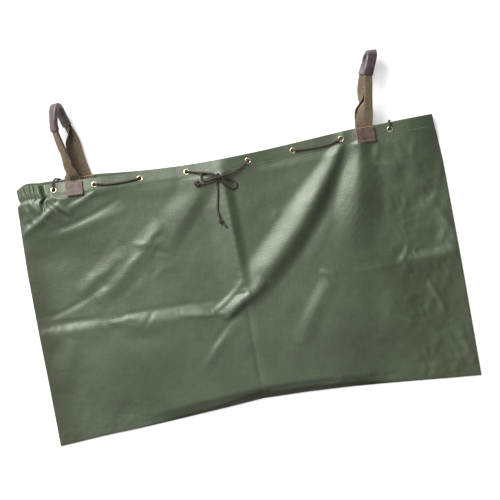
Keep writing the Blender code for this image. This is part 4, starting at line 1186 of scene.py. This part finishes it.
RIGHT_HANDLE = (
    (329.0, 276, None, 180, 0.00, 0),
    (329.5, 292, None, 180, 0.00, 0),
    (330.3, 308, None, 180, 0.00, 0),
    (334.6, 330, 36.5, 172, 0.12, 0),
    (340.0, 350, 38.0, 156, 0.38, 0),
    (347.4, 370, 39.5, 132, 0.74, 0),
    (353.0, 389, 40.5, 113, 0.96, 0),
    (356.4, 408, 41.0, 107, 1.00, 0),
    (359.0, 425, 41.5, 106, 1.00, 1),
    (369.0, 451, 40.0, 106, 1.00, 1),
    (376.2, 469, 36.0, 104, 1.00, 1),
    (377.4, 477, 26.5, 96, 1.00, 1),
    (370.0, 469, 17.5, 84, 1.00, 1),
    (361.5, 450, 13.5, 76, 1.00, 1),
    (350.0, 428, 12.0, 72, 1.00, 1),
    (342.6, 408, 12.0, 68, 1.00, 0),
    (338.0, 389, 11.5, 60, 0.98, 0),
    (335.8, 370, 10.0, 38, 0.80, 0),
    (334.0, 350, 8.2, 10, 0.32, 0),
    (332.5, 329, 6.8, 0, 0.00, 0),
    (330.0, 307, None, 0, 0.00, 0),
    (328.5, 287, None, 0, 0.00, 0),
    (328.5, 274, None, 0, 0.00, 0),
)


def cotton_webbing():
    """Cotton webbing: ribs across the strip, warp threads along it, fluffy, with painted shade in the
    hollows of the weave.
    """
    made, tree, shader = new_finish("cotton webbing")
    cloth = add_node(tree, "ShaderNodeUVMap", uv_map="cloth")
    split = add_node(tree, "ShaderNodeSeparateXYZ", {0: cloth})
    turns = []
    for k, pitch in ((0, WEB_RIB_PITCH), (1, WEB_RIB_PITCH * 0.8)):
        sockets = {0: split.outputs[k], 1: 2 * math.pi / (pitch * MM)}
        turns.append(add_node(tree, "ShaderNodeMath", sockets, operation="MULTIPLY"))
    shift = add_node(tree, "ShaderNodeMath", {0: turns[0], 1: turns[1]}, operation="ADD")
    twill = add_node(tree, "ShaderNodeMath", {0: shift}, operation="SINE")
    warp = add_node(tree, "ShaderNodeMath", {0: turns[0]}, operation="SINE")
    weave = add_node(tree, "ShaderNodeMath", {0: warp, 1: 0.5, 2: twill}, operation="MULTIPLY_ADD")
    place = add_node(tree, "ShaderNodeTexCoord").outputs["Object"]
    tufts = {"Vector": place, "Scale": WEB_FUZZ_PER_METRE, "Detail": 4.0}
    fuzz = add_node(tree, "ShaderNodeTexNoise", tufts)
    mixed = add_node(tree, "ShaderNodeMath", {0: weave, 1: 0.12, 2: fuzz}, operation="MULTIPLY_ADD")
    # painted shade: the low places of the weave take the darker colour
    tone = add_node(tree, "ShaderNodeValToRGB", {"Fac": mixed}, ((0.3, "#453a2f"), (0.75, "#73644f")))
    bump = add_node(tree, "ShaderNodeBump", {"Strength": 0.7, "Distance": 0.0006, "Height": mixed})
    plug(shader, {"Base Color": tone, "Normal": bump, "Roughness": 0.9})
    plug(shader, {"Specular IOR Level": 0.3, "Sheen Weight": 0.15})
    return made


def handle_rows(rows):
    """The handle's rows, with the heights and the lean of its sewn ends worked out from the hems."""
    cloth_gap = HEM_WALL / 2 + LEG_GAP + WEB_WALL / 2
    placed = []
    for i, (x, y, z, lean, fold, sleeved) in enumerate(rows):
        if z is None:
            face = "front" if i < len(rows) // 2 else "back"
            y_on_cloth = min(y, top_at(face, x) - 6)
            middle, normal, _, _ = panel_frame(face, x, y_on_cloth, reach=WEB_WIDTH / 2)
            up = normal if face == "front" else -normal
            z = (middle + normal * cloth_gap).z
            lean += math.degrees(math.atan2(up.x, up.z))
        placed.append((x, y, z, lean, fold, sleeved))
    return np.array(placed, float)


def handle_sections(rows, step):
    """Along a handle: middle, stacking direction, width direction, fold, run, and if it is sleeved."""
    rows = handle_rows(rows)
    places = rows[:, :3]
    at = np.concatenate(([0.0], np.cumsum(np.linalg.norm(np.diff(places, axis=0), axis=1))))
    t = np.linspace(at[0], at[-1], int(at[-1] / step) + 1)
    middle = through(at, places, t)
    ahead = np.gradient(middle, axis=0)
    lean = np.radians(through(at, rows[:, 3], t))
    fold = np.clip(through(at, rows[:, 4], t), 0.0, 1.0)
    sleeved = at[rows[:, 5] > 0]
    sections = []
    for i, place in enumerate(middle):
        along = Vector(ahead[i]).normalized()
        stack = Vector((math.sin(lean[i]), 0.0, math.cos(lean[i])))
        stack = (stack - along * stack.dot(along)).normalized()
        inside = sleeved[0] - 0.1 <= t[i] <= sleeved[-1] + 0.1
        sections.append((Vector(place), stack, along.cross(stack), float(fold[i]), t[i], inside))
    return sections


def web_section(middle, stack, width, fold):
    """The webbing across one section: flat, or folded in half round a small radius."""
    turn = fold * WEB_FOLD_TURN / 2
    side_points = [(0.0, 0.0)]
    for near, far in zip(WEB_STATIONS, WEB_STATIONS[1:]):
        heading = turn * min(1.0, (near + far) / 2 / WEB_STATIONS[3])
        reach = far - near
        previous = side_points[-1]
        step = (reach * math.cos(heading), reach * math.sin(heading))
        side_points.append((previous[0] + step[0], previous[1] + step[1]))
    centre = (side_points[0][1] + side_points[-1][1]) / 2
    left = [(-across, up - centre) for across, up in side_points[:0:-1]]
    right = [(across, up - centre) for across, up in side_points]
    return [tuple(middle + width * across + stack * up) for across, up in left + right]


def grid_faces(rows, columns, around=False):
    faces = []
    for i in range(rows - 1):
        for j in range(columns if around else columns - 1):
            n = (j + 1) % columns
            faces.append((i * columns + j, i * columns + n, (i + 1) * columns + n, (i + 1) * columns + j))
    return faces


WEBBING = cotton_webbing()
for side_name, rows in (("left", LEFT_HANDLE), ("right", RIGHT_HANDLE)):
    sections = handle_sections(rows, WEB_STEP)
    grid = [point for section in sections for point in web_section(*section[:4])]
    across = [-v for v in WEB_STATIONS[:0:-1]] + list(WEB_STATIONS)
    columns = len(across)
    surface_uv = np.array([(u, section[4]) for section in sections for u in across])
    points, faces, over = closed_wall(grid, grid_faces(len(sections), columns), WEB_WALL / 2, WEB_WALL / 2)
    corner_uv = surface_uv[over][faces.ravel()]
    webbing = mesh_piece("handle_webbing_" + side_name, points, faces, WEBBING, corner_uv)
    fitted(webbing, "webbing", "webbing_" + side_name)


# The grips: each a sleeve of dark brown waxed leather, wrapped round the folded webbing and closed
# edge to edge underneath. It has creased where the loop turns over, and is polished by hands.
GRIP_HALF_WIDTH = 11.4
GRIP_HALF_DEPTH = 5.1
GRIP_WALL = 1.8
GRIP_ROUND = 2.9
GRIP_STEP = 1.6
GRIP_CREASE = 0.45
GRIP_BEND_HALF = 14.0
GRIP_UNEVEN = 0.10
# Real pebbled grain is under 1 mm, too fine to show here, so it is drawn at 1.6 mm. Rubbed places
# are about 18 mm across.
GRIP_GRAIN_PER_METRE = 620.0
RUBBED_PER_METRE = 55.0


def waxed_leather():
    """Full-grain waxed leather: fine pebbled grain, semi-gloss, reddish where it is rubbed."""
    made, tree, shader = new_finish("waxed leather")
    place = add_node(tree, "ShaderNodeTexCoord").outputs["Object"]
    pebbles = {"Vector": place, "Scale": GRIP_GRAIN_PER_METRE, "Randomness": 1.0}
    grain = add_node(tree, "ShaderNodeTexVoronoi", pebbles)
    rubbed = {"Vector": place, "Scale": RUBBED_PER_METRE, "Detail": 4.0}
    blotch = add_node(tree, "ShaderNodeTexNoise", rubbed)
    tone = add_node(tree, "ShaderNodeValToRGB", {"Fac": blotch}, ((0.35, "#33272a"), (0.7, "#54403f")))
    bump = add_node(tree, "ShaderNodeBump", {"Strength": 0.35, "Distance": 0.0004, "Height": grain})
    rough = add_node(tree, "ShaderNodeMapRange", {"Value": blotch, 1: 0.3, 2: 0.7, 3: 0.36, 4: 0.48})
    plug(shader, {"Base Color": tone, "Normal": bump, "Roughness": rough, "Specular IOR Level": 0.7})
    return made


def rounded_oblong(half_wide, half_deep, corner, steps=5):
    """Points round a rounded oblong, as offsets along the stack and the width."""
    outline = []
    for quarter, (up, across) in enumerate(((1, 1), (-1, 1), (-1, -1), (1, -1))):
        for k in range(steps + 1):
            turn = math.pi / 2 * (k / steps + quarter)
            outline.append((
                up * (half_wide - corner) + corner * math.cos(turn),
                across * (half_deep - corner) + corner * math.sin(turn),
            ))
    return outline


GRIP_LEATHER = waxed_leather()
for side_name, rows in (("left", LEFT_HANDLE), ("right", RIGHT_HANDLE)):
    sections = [section for section in handle_sections(rows, GRIP_STEP) if section[5]]
    outline = rounded_oblong(GRIP_HALF_WIDTH, GRIP_HALF_DEPTH, GRIP_ROUND)
    runs = [section[4] for section in sections]
    bend = (runs[0] + runs[-1]) / 2
    rings = []
    for middle, stack, width, _, run, _ in sections:
        at_bend = math.exp(-(((run - bend) / GRIP_BEND_HALF) ** 2))
        for k, (up, across) in enumerate(outline):
            crease = GRIP_CREASE * at_bend * math.sin(run * 1.9 + 0.7 * math.sin(k * 1.1))
            uneven = GRIP_UNEVEN * math.sin(run * 0.31 + k * 0.9)
            grow = 1 + (crease + uneven) / GRIP_HALF_WIDTH
            rings.append(tuple(middle + stack * up * grow + width * across * grow))
    faces = grid_faces(len(sections), len(outline), around=True)
    points, faces, over = closed_wall(rings, faces, GRIP_WALL / 2, GRIP_WALL / 2)
    grip = mesh_piece("grip_sleeve_" + side_name, points, faces, GRIP_LEATHER)
    fitted(grip, "grip_leather", "grip_" + side_name)


# The patches: pieces of oiled brown leather, about 42 by 33 mm, cut with raw tan edges. They are sewn
# over and behind each end of the handles with a row of tan thread close to the edge.
PATCHES = (
    # handle, face, x, width
    ("left", "front", -363.8, 37.5),
    ("left", "back", -333.5, 42.0),
    ("right", "front", 329.5, 42.0),
    ("right", "back", 326.0, 42.0),
)
PATCH_HEIGHT = 33.0
PATCH_DROP = 1.0
PATCH_STEP = 1.5
PATCH_STITCH_IN = 3.6
PATCH_STITCH_PITCH = 4.0
PATCH_STITCH_LONG = 2.7
PATCH_STITCH_THICK = 0.9
PATCH_STITCH_SINK = 0.25
PATCH_GROOVE = 0.35
PATCH_GROOVE_HALF = 1.1
PATCH_BOW = 0.25
PATCH_BOW_SIZE = 9.0
# The grain is drawn at 1.4 mm, coarser than the real one, so that it shows. The oil has left
# blotches of about 11 mm.
PATCH_GRAIN_PER_METRE = 700.0
BLOTCHES_PER_METRE = 90.0


def oiled_leather():
    """Oiled leather with cut edges: dark brown, matt grain; the cut edge is raw and tan."""
    made, tree, shader = new_finish("oiled leather with raw edges")
    place = add_node(tree, "ShaderNodeTexCoord").outputs["Object"]
    oil = {"Vector": place, "Scale": BLOTCHES_PER_METRE, "Detail": 5.0}
    blotch = add_node(tree, "ShaderNodeTexNoise", oil)
    grain = add_node(tree, "ShaderNodeTexVoronoi", {"Vector": place, "Scale": PATCH_GRAIN_PER_METRE})
    tone = add_node(tree, "ShaderNodeValToRGB", {"Fac": blotch}, ((0.35, "#3a2d28"), (0.7, "#594840")))
    raw = add_node(tree, "ShaderNodeAttribute", attribute_name="raw").outputs["Fac"]
    mixed = {"Factor": raw, "A": tone, "B": linear("#ad8556")}
    edged = add_node(tree, "ShaderNodeMix", mixed, data_type="RGBA")
    bump = add_node(tree, "ShaderNodeBump", {"Strength": 0.4, "Distance": 0.0004, "Height": grain})
    plug(shader, {"Base Color": edged.outputs[2], "Normal": bump, "Roughness": 0.55})
    return made


PATCH_LEATHER = oiled_leather()
TAN_THREAD = thread("tan bonded thread", "#957763")
for side_name, face, x, wide in PATCHES:
    for where, under in (("outer", LEG_GAP + WEB_WALL + LEG_GAP), ("inner", PATCH_GAP)):
        top = top_at(face, x) - PATCH_DROP
        height = HEM_WALL / 2 + under + PATCH_WALL / 2
        sign = 1 if where == "outer" else -1
        middle, normal, tx, ty = panel_frame(face, x, top - PATCH_HEIGHT / 2, reach=wide / 2)
        up = ty if ty.y > 0 else -ty
        us = np.linspace(-wide / 2, wide / 2, int(wide / PATCH_STEP) + 1)
        vs = np.linspace(-PATCH_HEIGHT / 2, PATCH_HEIGHT / 2, int(PATCH_HEIGHT / PATCH_STEP) + 1)
        surface = []
        for v in vs:
            for u in us:
                inset = min(wide / 2 - abs(u), PATCH_HEIGHT / 2 - abs(v))
                sunk = PATCH_GROOVE * math.exp(-(((inset - PATCH_STITCH_IN) / PATCH_GROOVE_HALF) ** 2))
                bow = PATCH_BOW * float(soft_noise(np.array([u]), np.array([v]), PATCH_BOW_SIZE, 21)[0])
                surface.append(tuple(middle + normal * sign * (height - sunk + bow) + tx * u + up * v))
        faces = np.array(grid_faces(len(vs), len(us)))
        if tx.cross(up).dot(normal * sign) < 0:
            faces = faces[:, ::-1]
        half = PATCH_WALL / 2
        points, faces, over = closed_wall(surface, faces, half, half)
        patch = mesh_piece(f"patch_{side_name}_{face}_{where}_cut", points, faces, PATCH_LEATHER)
        edge = np.zeros(len(points), np.float32)
        edge[2 * len(surface) :] = 1.0
        patch.data.attributes.new("raw", "FLOAT", "POINT").data.foreach_set("value", edge)
        fitted(patch, "patch_leather", f"patch_{side_name}_{face}_{where}")
        a = wide / 2 - PATCH_STITCH_IN
        b = PATCH_HEIGHT / 2 - PATCH_STITCH_IN
        lift = sign * (height + half - PATCH_STITCH_SINK)
        sides = ((-a, b, -a, -b), (-a, -b, a, -b), (a, -b, a, b), (a, b, -a, b))
        lines = [
            [tuple(middle + normal * lift + tx * u + up * v) for u, v in ((x0, y0), (x1, y1))]
            for x0, y0, x1, y1 in sides
        ]
        name = f"patch_stitches_{side_name}_{face}_{where}"
        sizes = (PATCH_STITCH_PITCH, PATCH_STITCH_LONG, PATCH_STITCH_THICK)
        stitched(name, lines, TAN_THREAD, "patch_leather", *sizes)


# The plain pale table that the sack lies on: a translucent white board, lit evenly from below, so that
# the shadows on it stay pale.
TABLE_GLOW = 0.45
FLOOR_HALF = 6000.0
floor_finish, tree, shader = new_finish("translucent white board")
plug(shader, {"Base Color": linear("#cbcbca"), "Roughness": 0.9})
plug(shader, {"Emission Color": linear("#ffffff"), "Emission Strength": TABLE_GLOW})
floor = mesh_piece(
    "floor",
    np.array([(-1, -1, 0), (1, -1, 0), (1, 1, 0), (-1, 1, 0)]) * FLOOR_HALF,
    [(0, 1, 2, 3)],
    floor_finish,
)
